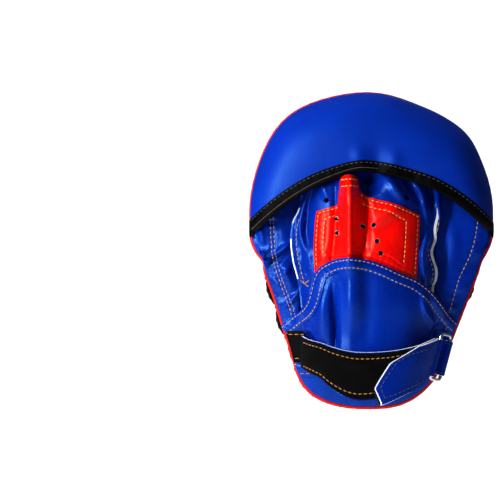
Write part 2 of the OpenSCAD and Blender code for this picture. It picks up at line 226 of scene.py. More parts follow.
def flank_at(z, side):
    """The outline's x at height z, on the left (-1) or right (1)."""
    edge_z = HEEL_Z + HEEL_R * FLANK_NZ
    crown = np.sqrt(np.maximum(0, CROWN_R**2 - (z - CROWN_Z) ** 2))
    heel = np.sqrt(np.maximum(0, HEEL_R**2 - (z - HEEL_Z) ** 2))
    line = HEEL_R * FLANK_NX - (z - edge_z) * FLANK_NZ / FLANK_NX
    half = np.where(z > CROWN_Z + CROWN_R * FLANK_NZ, crown, np.where(z > edge_z, line, heel))
    return side * (half + 0.95 * swell(np.arctan2(z - POLE_Z, side * half)))


def flank_z(x):
    """The height of the outline's lower half at x, without its swells."""
    over = np.abs(x) - HEEL_R * FLANK_NX
    low = HEEL_Z - np.sqrt(np.maximum(0, HEEL_R**2 - np.minimum(np.abs(x), HEEL_R) ** 2))
    return np.where(over > 0, HEEL_Z + HEEL_R * FLANK_NZ - over * FLANK_NX / FLANK_NZ, low)


def bend(z):
    """The Y that the bend of the whole mitt adds at height z."""
    return BEND_RISE * (z / (MITT_H / 2)) ** 2


def palm_y(x, z):
    """The Y of the palm face, which turns down towards the rim."""
    share = np.hypot(x, z - POLE_Z) / rim_reach(np.arctan2(z - POLE_Z, x))
    return bend(z) + RIM_DROP * np.maximum(0, (share - 0.8) / 0.2) ** 2


def over(x, z, h):
    """Points at height h over the palm face."""
    x, z, h = np.broadcast_arrays(x, z, h)
    return np.stack([x, palm_y(x, z) - h, z], axis=-1)


# ---- Mesh building ----

def build(name, points, faces, materials, body="mitt", face_material=None, sharp=()):
    """A mesh object in metres from points in millimetres, smooth but for its sharp edges."""
    mesh = bpy.data.meshes.new(name)
    mesh.from_pydata((np.asarray(points, float) * MM).tolist(), [], faces)
    for material in materials:
        mesh.materials.append(material)
    mesh.polygons.foreach_set("use_smooth", [True] * len(mesh.polygons))
    if face_material is not None:
        mesh.polygons.foreach_set("material_index", face_material)
    if len(sharp):
        ends = np.empty(len(mesh.edges) * 2, int)
        mesh.edges.foreach_get("vertices", ends)
        ends = np.sort(ends.reshape(-1, 2), 1)
        wanted = np.sort(np.array(sharp, int), 1)
        count = len(points) + 1
        found = np.isin(ends[:, 0] * count + ends[:, 1], wanted[:, 0] * count + wanted[:, 1])
        flags = mesh.attributes.new("sharp_edge", "BOOLEAN", "EDGE")
        flags.data.foreach_set("value", found)
    mesh.update()
    piece = bpy.data.objects.new(name, mesh)
    bpy.context.collection.objects.link(piece)
    if body:
        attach(piece, body)
    return piece


def outward(points, faces):
    """The faces, turned over if they enclose a negative volume."""
    p = np.asarray(points, float)
    total = 0.0
    for size in (3, 4):
        same = np.array([f for f in faces if len(f) == size], int)
        for i in range(1, size - 1):
            if len(same):
                total += np.einsum("ij,ij", p[same[:, 0]],
                                   np.cross(p[same[:, i]], p[same[:, i + 1]]))
    return faces if total > 0 else [f[::-1] for f in faces]


def sheet(name, outer, inner, materials, body="mitt", keep=None):
    """A closed sheet between two grids. keep says which cells are there, and every free
    edge gets a cut wall in the second material."""
    m, n, _ = outer.shape
    keep = np.ones((m - 1, n - 1), bool) if keep is None else keep
    index = np.arange(m * n).reshape(m, n)
    far = m * n
    faces, kinds, free = [], [], {}
    for i, j in zip(*np.nonzero(keep)):
        quad = [int(index[i, j]), int(index[i + 1, j]), int(index[i + 1, j + 1]),
                int(index[i, j + 1])]
        faces += [quad, [far + k for k in quad[::-1]]]
        kinds += [0, 0]
        for a, b in zip(quad, quad[1:] + quad[:1]):
            if free.pop((b, a), None) is None:
                free[(a, b)] = True
    sharp = []
    rim_points = np.zeros((m, n), bool)
    rim_points[[0, -1]] = rim_points[:, [0, -1]] = True
    on_rim = rim_points.ravel()
    for a, b in free:
        faces.append([b, a, far + a, far + b])
        kinds.append(min(1, len(materials) - 1) if on_rim[a] and on_rim[b]
                     else len(materials) - 1)
        sharp += [(a, b), (far + a, far + b)]
    points = np.vstack([outer.reshape(-1, 3), inner.reshape(-1, 3)])
    used = np.unique([k for f in faces for k in f])
    renumber = {int(k): i for i, k in enumerate(used)}
    faces = [[renumber[k] for k in f] for f in faces]
    sharp = [(renumber[a], renumber[b]) for a, b in sharp]
    points = points[used]
    return build(name, points, outward(points, faces), materials, body, kinds, sharp)


def loft(loops, hoop):
    """Points and faces of a closed solid through loops of equal length. A hoop's last loop
    joins its first, and otherwise a point closes each end."""
    m, n, _ = loops.shape
    points = loops.reshape(-1, 3)
    nexts = [(j, (j + 1) % n) for j in range(n)]
    faces = [[i * n + j, (i + 1) % m * n + j, (i + 1) % m * n + k, i * n + k]
             for i in range(m if hoop else m - 1) for j, k in nexts]
    if not hoop:
        points = np.vstack([points, loops[0].mean(0), loops[-1].mean(0)])
        faces += [[m * n, j, k] for j, k in nexts]
        faces += [[m * n + 1, (m - 1) * n + k, (m - 1) * n + j] for j, k in nexts]
    return points, outward(points, faces)


def rings(name, loops, materials, body="mitt", bands=None, hoop=False):
    """A solid through loops. bands gives the material between each loop and the next."""
    loops = np.asarray(loops, float)
    kinds = bands and np.repeat([*bands, bands[0], bands[-1]], loops.shape[1])
    return build(name, *loft(loops, hoop), materials, body, kinds)


def tube_points(path, normals, wide, deep):
    """Six-sided loops round a path. wide and deep are the half sizes across and along the
    normal."""
    path = np.asarray(path, float)
    along = np.gradient(path, axis=0)
    along /= np.maximum(1e-9, np.linalg.norm(along, axis=1))[:, None]
    normals = normals - (normals * along).sum(1)[:, None] * along
    normals /= np.maximum(1e-9, np.linalg.norm(normals, axis=1))[:, None]
    across = np.cross(along, normals)
    q = np.linspace(0, 2 * math.pi, 6, endpoint=False)
    wide = np.broadcast_to(wide, len(path))[:, None, None]
    deep = np.broadcast_to(deep, len(path))[:, None, None]
    return (path[:, None] + across[:, None] * np.cos(q)[None, :, None] * wide
            + normals[:, None] * np.sin(q)[None, :, None] * deep)


def many(name, solids, materials, body="mitt"):
    """One mesh of many solids, each given as loops."""
    points, faces, start = [], [], 0
    for loops in solids:
        own_points, own_faces = loft(loops, False)
        points.append(own_points)
        faces += [[start + k for k in f] for f in own_faces]
        start += len(own_points)
    return build(name, np.vstack(points), faces, materials, body)


def declare(piece, node):
    """Hides the imported part that a piece replaces."""
    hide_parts(node)


# Stitches: their length, gap and half thickness, in millimetres
SEAM_THREAD = (3.0, 1.0, 0.42)
TAPE_THREAD = (3.0, 1.1, 0.42)
MOUTH_THREAD = (3.2, 1.0, 0.3)
STRAP_THREAD = (3.2, 1.1, 0.42)
TAIL_THREAD = (3.0, 1.1, 0.36)
LOOP_THREAD = (2.6, 1.0, 0.32)
SINK = 0.35


def stitch_loops(path, normals, length, gap, thick):
    """Loops for a row of short arched threads along a path on a surface."""
    along = np.concatenate([[0], np.cumsum(np.linalg.norm(np.diff(path, axis=0), axis=1))])
    count = max(1, int((along[-1] + gap) / (length + gap)))
    pitch = (along[-1] + gap) / count
    t = np.linspace(0, 1, 6)
    out = []
    for i in range(count):
        at = i * pitch + t * (pitch - gap)
        p = np.stack([np.interp(at, along, path[:, k]) for k in range(3)], axis=1)
        n = np.stack([np.interp(at, along, normals[:, k]) for k in range(3)], axis=1)
        lift = thick * 0.7 * np.sin(math.pi * t) ** 0.5 - SINK * np.abs(2 * t - 1) ** 6
        size = thick * (0.55 + 0.45 * np.sin(math.pi * t) ** 0.5)
        out.append(tube_points(p + n * lift[:, None], n, size, size * 0.8))
    return out


def stitch_row(at, lift, thread):
    """Loops for a row of stitches along the line that at(lift) gives over a surface."""
    path = at(lift)
    return stitch_loops(path, path - at(lift - 1), *thread)


def stitch(name, rise, routes, material):
    """Rows of stitches along routes in the plan, at height rise(x, z) over the palm face."""
    def surface(x, z):
        return over(x, z, rise(x, z))

    solids = []
    for route in routes:
        x, z = np.asarray(route, float).T
        n = np.cross(surface(x + 0.3, z) - surface(x - 0.3, z),
                     surface(x, z + 0.3) - surface(x, z - 0.3))
        n /= np.maximum(1e-9, np.linalg.norm(n, axis=-1))[..., None]
        solids += stitch_loops(surface(x, z), n, *SEAM_THREAD)
    many(name, solids, [material])


# ---- Materials ----

class Look:
    """A procedural material: nodes feeding one Principled shader."""

    def __init__(self, name, **sockets):
        self.material = bpy.data.materials.new(name)
        self.material.use_nodes = True
        self.tree = self.material.node_tree
        self.shader = self.tree.nodes["Principled BSDF"]
        self.place = self.node("ShaderNodeTexCoord").outputs["Object"]
        for key, value in sockets.items():
            self.feed(self.shader.inputs[key.replace("_", " ")], value)

    def feed(self, socket, value):
        if isinstance(value, bpy.types.NodeSocket):
            self.tree.links.new(value, socket)
        else:
            socket.default_value = value

    def node(self, kind, settings=(), **inputs):
        made = self.tree.nodes.new(kind)
        for key, value in dict(settings).items():
            setattr(made, key, value)
        for key, value in inputs.items():
            self.feed(made.inputs[key.replace("_", " ")], value)
        return made

    def stretched(self, x, y, z):
        return self.node("ShaderNodeMapping", Vector=self.place, Scale=(x, y, z)).outputs[0]

    def noise(self, size, detail=2.0, rough=0.5, vector=None):
        """Noise with features about size millimetres across."""
        return self.node("ShaderNodeTexNoise", Vector=vector or self.place, Scale=1 / (size * MM),
                         Detail=detail, Roughness=rough).outputs["Fac"]

    def cells(self, size, feature="F1", vector=None):
        """Distances within cells about size millimetres across."""
        return self.node("ShaderNodeTexVoronoi", {"feature": feature},
                         Vector=vector or self.place,
                         Scale=1 / (size * MM)).outputs["Distance"]

    def span(self, value, low, high, new_low, new_high):
        """value from low..high taken to new_low..new_high, clamped."""
        made = self.node("ShaderNodeMapRange", Value=value)
        for key, number in (("From Min", low), ("From Max", high), ("To Min", new_low),
                            ("To Max", new_high)):
            made.inputs[key].default_value = number
        return made.outputs[0]

    def math(self, kind, a, b=0.0):
        made = self.node("ShaderNodeMath", {"operation": kind})
        self.feed(made.inputs[0], a)
        self.feed(made.inputs[1], b)
        return made.outputs[0]

    def blend(self, share, a, b):
        """A colour from a to b. One of three numbers is as on a screen, from 0 to 255."""
        made = self.node("ShaderNodeMix", {"data_type": "RGBA"})
        self.feed(made.inputs[0], share)
        for k, value in ((6, a), (7, b)):
            plain = isinstance(value, tuple) and len(value) == 3
            self.feed(made.inputs[k], rgb(*value) if plain else value)
        return made.outputs[2]

    def colour(self, value):
        self.feed(self.shader.inputs["Base Color"], value)

    def bump(self, height, depth, normal=None):
        """A bump depth millimetres deep."""
        made = self.node("ShaderNodeBump", Height=height, Distance=depth * MM, Strength=1.0)
        if normal is not None:
            self.feed(made.inputs["Normal"], normal)
        self.feed(self.shader.inputs["Normal"], made.outputs[0])
        return made.outputs[0]

    def paler_on_sharp_bends(self, colour, edge):
        """The colour, nearer to edge where the surface turns sharply outwards."""
        sharp = self.node("ShaderNodeNewGeometry").outputs["Pointiness"]
        patchy = self.math("MULTIPLY", self.span(sharp, 0.52, 0.62, 0, 0.55), self.noise(7, 4))
        return self.blend(patchy, colour, edge)


def rgb(red, green, blue):
    """The linear colour for one given as on a screen, from 0 to 255."""
    def linear(c):
        c /= 255
        return c / 12.92 if c <= 0.04045 else ((c + 0.055) / 1.055) ** 2.4
    return (linear(red), linear(green), linear(blue), 1)


def leather(name, colour, deep, edge, pebble, depth, gloss, shine=(1, 1, 1, 1), level=0.3):
    """Coated imitation leather: pebbled grain, fine creases, uneven tone and sheen."""
    look = Look(name, IOR=1.5, Specular_IOR_Level=level, Specular_Tint=shine)
    tone = look.noise(38, 3, 0.55)
    base = look.blend(look.span(tone, 0.3, 0.7, 0, 1), deep, colour)
    speck = look.noise(1.6, 3)
    base = look.blend(look.span(speck, 0.55, 0.75, 0, 0.16), base, edge)
    look.colour(look.paler_on_sharp_bends(base, edge))
    dull = look.math("ADD", look.span(look.noise(22, 4), 0.3, 0.7, gloss - 0.05, gloss + 0.07),
                     look.span(look.cells(pebble, "DISTANCE_TO_EDGE"), 0, 0.12, 0.1, 0))
    look.feed(look.shader.inputs["Roughness"], dull)
    warped = look.node("ShaderNodeVectorMath", {"operation": "ADD"})
    shift = look.node("ShaderNodeTexNoise", Vector=look.place, Scale=1 / (5 * MM), Detail=2.0)
    scaled = look.node("ShaderNodeVectorMath", {"operation": "SCALE"})
    look.feed(scaled.inputs[0], shift.outputs["Color"])
    scaled.inputs["Scale"].default_value = 1.6 * MM
    look.feed(warped.inputs[0], look.place)
    look.feed(warped.inputs[1], scaled.outputs[0])
    grain = look.span(look.cells(pebble, "DISTANCE_TO_EDGE", vector=warped.outputs[0]),
                      0, 0.32, 0, 1)
    normal = look.bump(grain, depth)
    normal = look.bump(look.noise(9, 5, 0.62), depth * 1.6, normal)
    look.bump(look.noise(0.5, 2), depth * 0.25, normal)
    return look.material


def fabric(name, colour, deep, pitch, depth, rough=0.85, sheen=0.25, fuzz=0.3):
    """Woven tape, webbing or raw cut edge: crossing yarns with a fuzzy surface."""
    look = Look(name, Roughness=rough, Sheen_Weight=sheen, Sheen_Roughness=0.5, IOR=1.45,
                Specular_IOR_Level=0.1)
    scale = 2 * math.pi / (pitch * MM)
    split = look.node("ShaderNodeSeparateXYZ", Vector=look.place)
    rows = look.math("SINE", look.math("MULTIPLY", split.outputs[2], scale))
    runs = look.math("SINE", look.math("MULTIPLY", look.math(
        "ADD", split.outputs[0], split.outputs[1]), scale))
    weave = look.math("ABSOLUTE", look.math("MULTIPLY", rows, runs))
    tone = look.math("MULTIPLY", look.span(look.noise(14, 4), 0.3, 0.7, 0.45, 1),
                     look.span(weave, 0, 1, 0.6, 1))
    look.colour(look.blend(tone, deep, colour))
    normal = look.bump(weave, depth)
    look.bump(look.noise(0.35, 3), depth * fuzz, normal)
    return look.material


def pile(name, colour, tip, size, depth, sheen):
    """Touch fastener: a mat of loops or hooks, with tuft tops painted towards tip as a painted
    sheen.
    """
    look = Look(name, Roughness=0.95, Sheen_Weight=sheen, Sheen_Roughness=0.6, IOR=1.4,
                Specular_IOR_Level=0.12)
    tuft = look.cells(size, "SMOOTH_F1")
    nap = look.noise(11, 4, 0.6)
    height = look.math("SUBTRACT", 1.0, tuft)
    # Painted sheen: the tuft tops painted lighter, towards tip, unevenly with the nap.
    painted_tip_sheen = look.math("MULTIPLY", look.span(nap, 0.35, 0.7, 0.05, 0.8), height)
    look.colour(look.blend(painted_tip_sheen, colour, tip))
    normal = look.bump(height, depth)
    look.bump(look.noise(size * 0.4, 3), depth * 0.6, normal)
    return look.material


def thread(name, colour, deep):
    """Twisted sewing thread."""
    look = Look(name, Roughness=0.55, Sheen_Weight=0.3, IOR=1.46)
    ply = look.noise(0.6, 2, 0.5, look.stretched(1, 1, 2.4))
    look.colour(look.blend(look.span(ply, 0.35, 0.65, 0, 1), deep, colour))
    look.bump(ply, 0.12)
    return look.material


def foam(name, colour, deep, pore):
    """Foam with pores about pore millimetres across, painted darker inside towards the colour deep
    as painted shade.
    """
    look = Look(name, Roughness=0.95, IOR=1.35)
    holes = look.cells(pore, "F1")
    # Painted shade: the pores painted darker, towards deep.
    look.colour(look.blend(look.span(holes, 0.1, 0.6, 0, 1), deep, colour))
    normal = look.bump(holes, 0.4)
    look.bump(look.noise(0.9, 3), 0.15, normal)
    return look.material


def steel(name):
    """Bright plated wire with fine drawing marks and a little tarnish."""
    look = Look(name, Metallic=1.0, IOR=2.5)
    marks = look.noise(0.5, 3, 0.6, look.stretched(1, 1, 0.08))
    tarnish = look.noise(4, 4)
    look.colour(look.blend(look.span(tarnish, 0.45, 0.75, 0, 0.6), (226, 228, 232),
                           (158, 152, 146)))
    look.feed(look.shader.inputs["Roughness"], look.math(
        "ADD", look.span(marks, 0.3, 0.7, 0.12, 0.26), look.span(tarnish, 0.5, 0.8, 0, 0.2)))
    look.bump(marks, 0.03)
    return look.material


# The highlight colour of the blue leathers
AZURE = (0.2, 0.5, 1, 1)

BLUE = leather("blue_leather", (0, 48, 160), (0, 38, 138), (12, 74, 192), 1.1, 0.045,
               0.26, AZURE, 0.75)
HOOD = leather("hood_leather", (0, 50, 166), (0, 42, 148), (12, 74, 192), 1.1, 0.045,
               0.46, AZURE, 0.75)
FACE = leather("face_leather", (2, 52, 188), (1, 42, 166), (26, 90, 214), 2.6, 0.16,
               0.52, (0.14, 0.3, 0.6, 1))
RED = leather("red_leather", (252, 8, 6), (238, 4, 3), (250, 60, 44), 1.2, 0.045,
              0.29, (1, 0.34, 0.26, 1), 0.75)
TRIM = leather("red_tape", (232, 22, 18), (196, 8, 8), (250, 96, 80), 0.8, 0.06, 0.5)
PRINTS = {key: leather("print_" + key, *tones, 2.6, 0.12, 0.34) for key, tones in {
    "yellow": ((244, 206, 30), (232, 184, 14), (250, 226, 110)),
    "black": ((14, 14, 16), (6, 6, 7), (46, 46, 50)),
    "red": ((222, 26, 20), (196, 12, 10), (238, 90, 80))}.items()}
BLACK_TAPE = fabric("black_tape", (4, 4, 5), (1, 1, 1), 0.7, 0.05, 0.42, 0.01)
CUT = fabric("cut_edge", (250, 250, 248), (214, 216, 220), 0.6, 0.08, 0.9, 0.3, 1.0)
CORD = fabric("lace_cord", (20, 20, 22), (5, 5, 6), 1.1, 0.22, 0.55, 0.1)
LOOP = pile("loop_pile", (4, 4, 5), (20, 20, 22), 0.8, 0.3, 0.02)
HOOK = pile("hook_pile", (10, 10, 11), (52, 52, 56), 1.1, 0.45, 0.08)
TAN = thread("tan_thread", (206, 176, 128), (150, 116, 74))
AMBER = thread("amber_thread", (204, 146, 74), (140, 90, 36))
STRAW = thread("straw_thread", (252, 206, 112), (226, 150, 64))
GREY = thread("grey_thread", (92, 88, 84), (48, 46, 44))
IMPACT = foam("impact_foam", (214, 214, 206), (170, 170, 160), 1.2)
CORE = foam("core_foam", (86, 88, 92), (52, 54, 58), 2.0)
PALM = foam("palm_foam", (196, 196, 198), (150, 150, 154), 1.6)
STEEL = steel("ring_steel")


# ---- Lines in the plan ----

def nearest(x, z, line):
    """Distance from (x, z) to a line, and how far along it the nearest point is."""
    x, z = np.broadcast_arrays(x, z)
    a, b = line[:-1], line[1:]
    step = b - a
    size = np.maximum(1e-9, np.hypot(*step.T))
    start = np.concatenate([[0], np.cumsum(size)[:-1]])
    best, along = np.full(x.shape, np.inf), np.zeros(x.shape)
    for k in range(len(a)):
        t = np.clip(((x - a[k, 0]) * step[k, 0] + (z - a[k, 1]) * step[k, 1]) / size[k] ** 2, 0, 1)
        d = np.hypot(x - a[k, 0] - t * step[k, 0], z - a[k, 1] - t * step[k, 1])
        near = d < best
        best = np.where(near, d, best)
        along = np.where(near, start[k] + t * size[k], along)
    return best, along


def fold(x, z, route, depth, width):
    """A fold along a route of (x, z) points, deepest in its middle."""
    line = spline(route, 3.0)
    d, along = nearest(x, z, line)
    whole = np.hypot(*np.diff(line, axis=0).T).sum()
    return depth * bell(d, width) * np.sin(math.pi * np.clip(along / whole, 0.02, 0.98)) ** 0.7


def folds(x, z, table):
    """All the folds in a table, one a row."""
    return sum(fold(x, z, *row) for row in table)


def seam(x, z, line, dip=0.45, width=1.3, pucker=0.22, pitch=6.5, reach=4.0):
    """The groove that a row of stitches pulls in, and the puckers beside it."""
    d, along = nearest(x, z, line)
    return (-dip * bell(d, width)
            + pucker * np.sin(along * 2 * math.pi / pitch + np.sin(along / 9)) * bell(d, reach))


def inset(loop, d):
    """A closed outline moved in by d, with what would cross itself left out."""
    loop = np.asarray(loop)[:-1] if np.allclose(loop[0], loop[-1]) else np.asarray(loop)
    along = np.roll(loop, -1, 0) - np.roll(loop, 1, 0)
    along /= np.hypot(*along.T)[:, None]
    turn = np.sum(loop[:, 0] * np.roll(loop[:, 1], -1) - loop[:, 1] * np.roll(loop[:, 0], -1))
    side = np.stack([-along[:, 1], along[:, 0]], 1) * np.sign(turn)
    moved = loop + side * d
    keep = nearest(*moved.T, np.vstack([loop, loop[:1]]))[0] > abs(d) - 0.2
    kept = moved[keep]
    return evenly(np.vstack([kept, kept[:1]]), 1.0)


def line_of(points):
    return lambda at: curve(points, at)


def plan_grid(left, right, low, high, across, up):
    """Plan coordinates between two side curves x(z) and two end curves z(x)."""
    s, t = np.meshgrid(np.linspace(0, 1, across), np.linspace(0, 1, up), indexing="ij")
    mid_z = 0.0
    for _ in range(3):
        x = mix(left(mid_z), right(mid_z), s)
        mid_z = mix(low(x), high(x), t)
    return x, mid_z


def outline(x, z):
    """The closed border of a plan grid."""
    loop = np.concatenate([np.stack([x[:, 0], z[:, 0]], 1), np.stack([x[-1], z[-1]], 1),
                           np.stack([x[::-1, -1], z[::-1, -1]], 1),
                           np.stack([x[0, ::-1], z[0, ::-1]], 1)])
    return evenly(loop, 1.5)


def punch(x, z, holes, radius):
    """Moves grid points near each hole onto its edge. Returns the cells that are left."""
    x, z = x.copy(), z.copy()
    keep = np.ones((x.shape[0] - 1, x.shape[1] - 1), bool)
    for hx, hz in holes:
        d = np.hypot(x - hx, z - hz)
        near = (d < radius * 1.45) & (d > 1e-6)
        pull = np.where(d < radius, 1.0, np.clip((radius * 1.45 - d) / (radius * 0.3), 0, 1))
        goal = mix(d, radius, np.where(d > radius * 0.45, pull, 0))
        x = np.where(near, hx + (x - hx) * goal / np.maximum(d, 1e-6), x)
        z = np.where(near, hz + (z - hz) * goal / np.maximum(d, 1e-6), z)
        inside = np.hypot(x - hx, z - hz) < radius * 1.02
        keep &= ~(inside[:-1, :-1] & inside[1:, :-1] & inside[:-1, 1:] & inside[1:, 1:])
    return x, z, keep


def grid_normals(points):
    n = np.cross(np.gradient(points, axis=0), np.gradient(points, axis=1))
    return n / np.maximum(1e-9, np.linalg.norm(n, axis=-1))[..., None]


def bevelled(points, spread):
    """The same grid with its borders moved out, so a cut edge slants into view. spread is
    for the first and last row, then the first and last column."""
    out = points.copy()
    first, last, low, high = np.broadcast_to(spread, 4)
    for row, inner, far in ((0, 1, first), (-1, -2, last)):
        step = points[row] - points[inner]
        out[row] = points[row] + far * step / np.linalg.norm(step, axis=-1)[..., None]
    for col, inner, far in ((0, 1, low), (-1, -2, high)):
        step = out[:, col] - points[:, inner]
        out[:, col] += far * step / np.linalg.norm(step, axis=-1)[..., None]
    return out


# ---- Pad ----

# The striking face's rounded edge: its radius, and the depth where it starts
EDGE_R = 9
EDGE_Y = 39
# How many gathers the lacing draws in a whole turn, and the points round the outline
GATHERS = 46
TURNS = 420
angles = np.linspace(0, 2 * math.pi, TURNS, endpoint=False)


def inset_at(z):
    """How far the striking face stands in from the outline at height z."""
    return mix(CROWN_INSET, HEEL_INSET, smooth((14 - z) / 40))


def front_in(a):
    return inset_at(rim(a)[1])


def pad_point(a, inward, share, y):
    x, z = shrunk(*rim(a, -inward), share)
    return np.stack(np.broadcast_arrays(x, y + bend(z), z), axis=-1)


def lower_share(a):
    """1 on the laced lower half of the outline and 0 on its upper half."""
    return smooth((6 - rim(a)[1]) / 26)


def face_relief(a, share):
    """Unevenness of the padded striking face, with gathers along its laced edge."""
    r = rim_reach(a) * share
    x, z = r * np.cos(a), POLE_Z + r * np.sin(a)
    gathers = (np.sin(a * GATHERS) + 0.6 * np.sin(a * 71 + 1)) * bell(1 - share, 0.09)
    return (0.5 * waves(x, z, 3, 6, 0.008, 0.022)
            - 0.9 * bell(np.hypot(x + 4, z - 47), 46) + 0.28 * gathers * lower_share(a)
            - 0.5 * bell(share - 0.955, 0.02) * lower_share(a))


def face_y(share):
    """The Y of the crowned face at a share of the way from pole to rim, before the bend."""
    return PAD_T + FACE_CROWN * (1 - share * share)


def pad_cover():
    """The striking face: a crowned sheet that turns down over its edge."""
    shares = np.concatenate([np.linspace(0.015, 0.86, 58), np.linspace(0.87, 1, 18)])
    loops = [pad_point(angles, EDGE_R + front_in(angles), s, face_y(s) + face_relief(angles, s))
             for s in shares]
    for q in np.linspace(math.pi / 2, 0, 14)[1:]:
        ripple = 0.3 * np.sin(angles * GATHERS) * lower_share(angles) * math.sin(2 * q)
        loops.append(pad_point(angles, EDGE_R * (1 - math.cos(q)) + front_in(angles) - ripple, 1,
                               mix(EDGE_Y, PAD_T + face_relief(angles, 1.0), math.sin(q))))
    loops = np.array(loops)
    n = np.cross(np.roll(loops, -1, 1) - np.roll(loops, 1, 1), np.gradient(loops, axis=0))
    n /= np.linalg.norm(n, axis=-1)[..., None]
    n *= np.sign(n[5, 0, 1])
    inner = loops - SKIN * n
    piece = rings("pad_cover", np.concatenate([loops, inner[::-1]]), [FACE])
    declare(piece, "strike_cover")


# The printed target's middle and radius
PRINT_AT = (-4, 47)
PRINT_R = 40


def target_print():
    """A generic bull's-eye film that follows the face."""
    q = np.linspace(0, 2 * math.pi, 160, endpoint=False)

    def ring(r, lift):
        x, z = PRINT_AT[0] + r * np.cos(q), PRINT_AT[1] + r * np.sin(q)
        a = np.arctan2(z - POLE_Z, x)
        share = np.hypot(x, z - POLE_Z) / rim_reach(a, -CROWN_INSET - EDGE_R)
        return np.stack([x, face_y(share) + bend(z) + face_relief(a, share) + lift, z], 1)

    bands = [(0.5, 9.5, "red"), (9.5, 11, "black"), (11, 17.5, "yellow"), (17.5, 18.5, "black"),
             (18.5, 27.5, "red"), (27.5, 28.9, "black"), (28.9, 38.6, "yellow"),
             (38.6, PRINT_R, "black")]
    keys = list(PRINTS)
    loops, kinds = [], []
    for low, high, colour in bands:
        for r in np.linspace(low, high, max(2, int((high - low) / 1.6) + 1))[:-1]:
            loops.append(ring(r, 0.42))
            kinds.append(keys.index(colour))
    loops += [ring(PRINT_R - 0.3, 0.42), ring(PRINT_R, 0.28), ring(PRINT_R, 0.08)]
    loops += [ring(r, 0.08) for r in np.linspace(PRINT_R - 2, 0.5, 20)]
    kinds += [keys.index("black")] * (len(loops) - 1 - len(kinds))
    declare(rings("target_film", loops, list(PRINTS.values()), "mitt", kinds),
            "target_print")


def rim_tube(name, node, inward, y, r, follow, bumps, ripple):
    """Piping round the rim, a little uneven where its cover is drawn in."""
    fine = np.linspace(0, 2 * math.pi, TURNS * 2, endpoint=False)
    loops = []
    for q in np.linspace(0, 2 * math.pi, 12, endpoint=False):
        size = r * (1 + ripple * np.sin(fine * bumps) * (1 + 0.5 * np.sin(fine * 17)))
        loops.append(pad_point(fine, inward + size * math.cos(q) + follow * front_in(fine), 1,
                               y + size * math.sin(q)))
    declare(rings(name, loops, [TRIM], hoop=True), node)


def tape_width(a):
    return mix(56, 84, smooth((-60 - rim(a)[1]) / 50))


def binding_point(a, q, lift):
    """Over the striking face's edge: q is in degrees from its side to its top."""
    q = np.radians(q)
    return pad_point(a, front_in(a) + EDGE_R * (1 - np.cos(q)) - lift * np.cos(q), 1,
                     mix(EDGE_Y, PAD_T, np.sin(q)) + lift * np.sin(q))


def edge_binding():
    """Sewn tape over the lower half of the striking face's edge."""
    a = np.linspace(math.pi, 2 * math.pi, 420)[:, None]
    t = np.linspace(0, 1, 12)[None]
    round_off = 0.55 * (1 - dome(2 * t - 1, 6, 0.5))
    ripple = 0.16 * np.sin(a * 92) * np.sin(math.pi * t)
    q = t * tape_width(a)
    outer = binding_point(a, q, 1.25 - round_off + ripple)
    inner = binding_point(a, q, 0.3 + 0 * ripple)
    declare(sheet("edge_tape", outer, inner, [TRIM]), "edge_binding")
    line = np.linspace(math.pi * 1.01, math.pi * 1.99, 900)
    row = stitch_row(lambda lift: binding_point(line, tape_width(line) - 17, lift), 1.2,
                     TAPE_THREAD)
    many("edge_tape_stitches", row, [STRAW])
    a = np.radians(232) + np.linspace(-0.006, 0.006, 4)[:, None]
    joint = [binding_point(a, t * tape_width(a), h - 0.4 * (1 - dome(2 * t - 1, 6, 0.5)))
             for h in (1.75, 1.0)]
    sheet("edge_tape_joint", *joint, [TRIM])


# The depths between which the gusset's wall stands
GUSSET = (9.6, 35.0)


def gusset_point(a, y, inside):
    """A point of the side wall at angle a and level y, with its gathers."""
    t = np.clip((y - GUSSET[0]) / (GUSSET[1] - GUSSET[0]), 0, 1)
    low = lower_share(a)
    drawn = np.sin(a * GATHERS) * 0.55 * low + 0.3 * waves(a * 90, y, 8, 6, 0.03, 0.08)
    pinch = 0.9 * bell(t - 0.5, 0.16) * low
    bulge = (1.5 - pinch) * np.sin(math.pi * t) + drawn * np.sin(math.pi * t)
    x, z = rim(a, -(inside - bulge) - t * front_in(a))
    return np.stack(np.broadcast_arrays(x, y + bend(z), z), axis=-1)


def side_gusset():
    levels = np.linspace(*GUSSET, 24)
    fine = np.linspace(0, 2 * math.pi, 600, endpoint=False)
    loops = [gusset_point(fine, y, 0) for y in levels]
    loops += [gusset_point(fine, y, SKIN) for y in levels[::-1]]
    declare(rings("side_wall", loops, [BLUE], hoop=True), "side_gusset")


# The lacing's length along the outline, and its number of bights
LACE_SPAN, BIGHTS = 312, 12


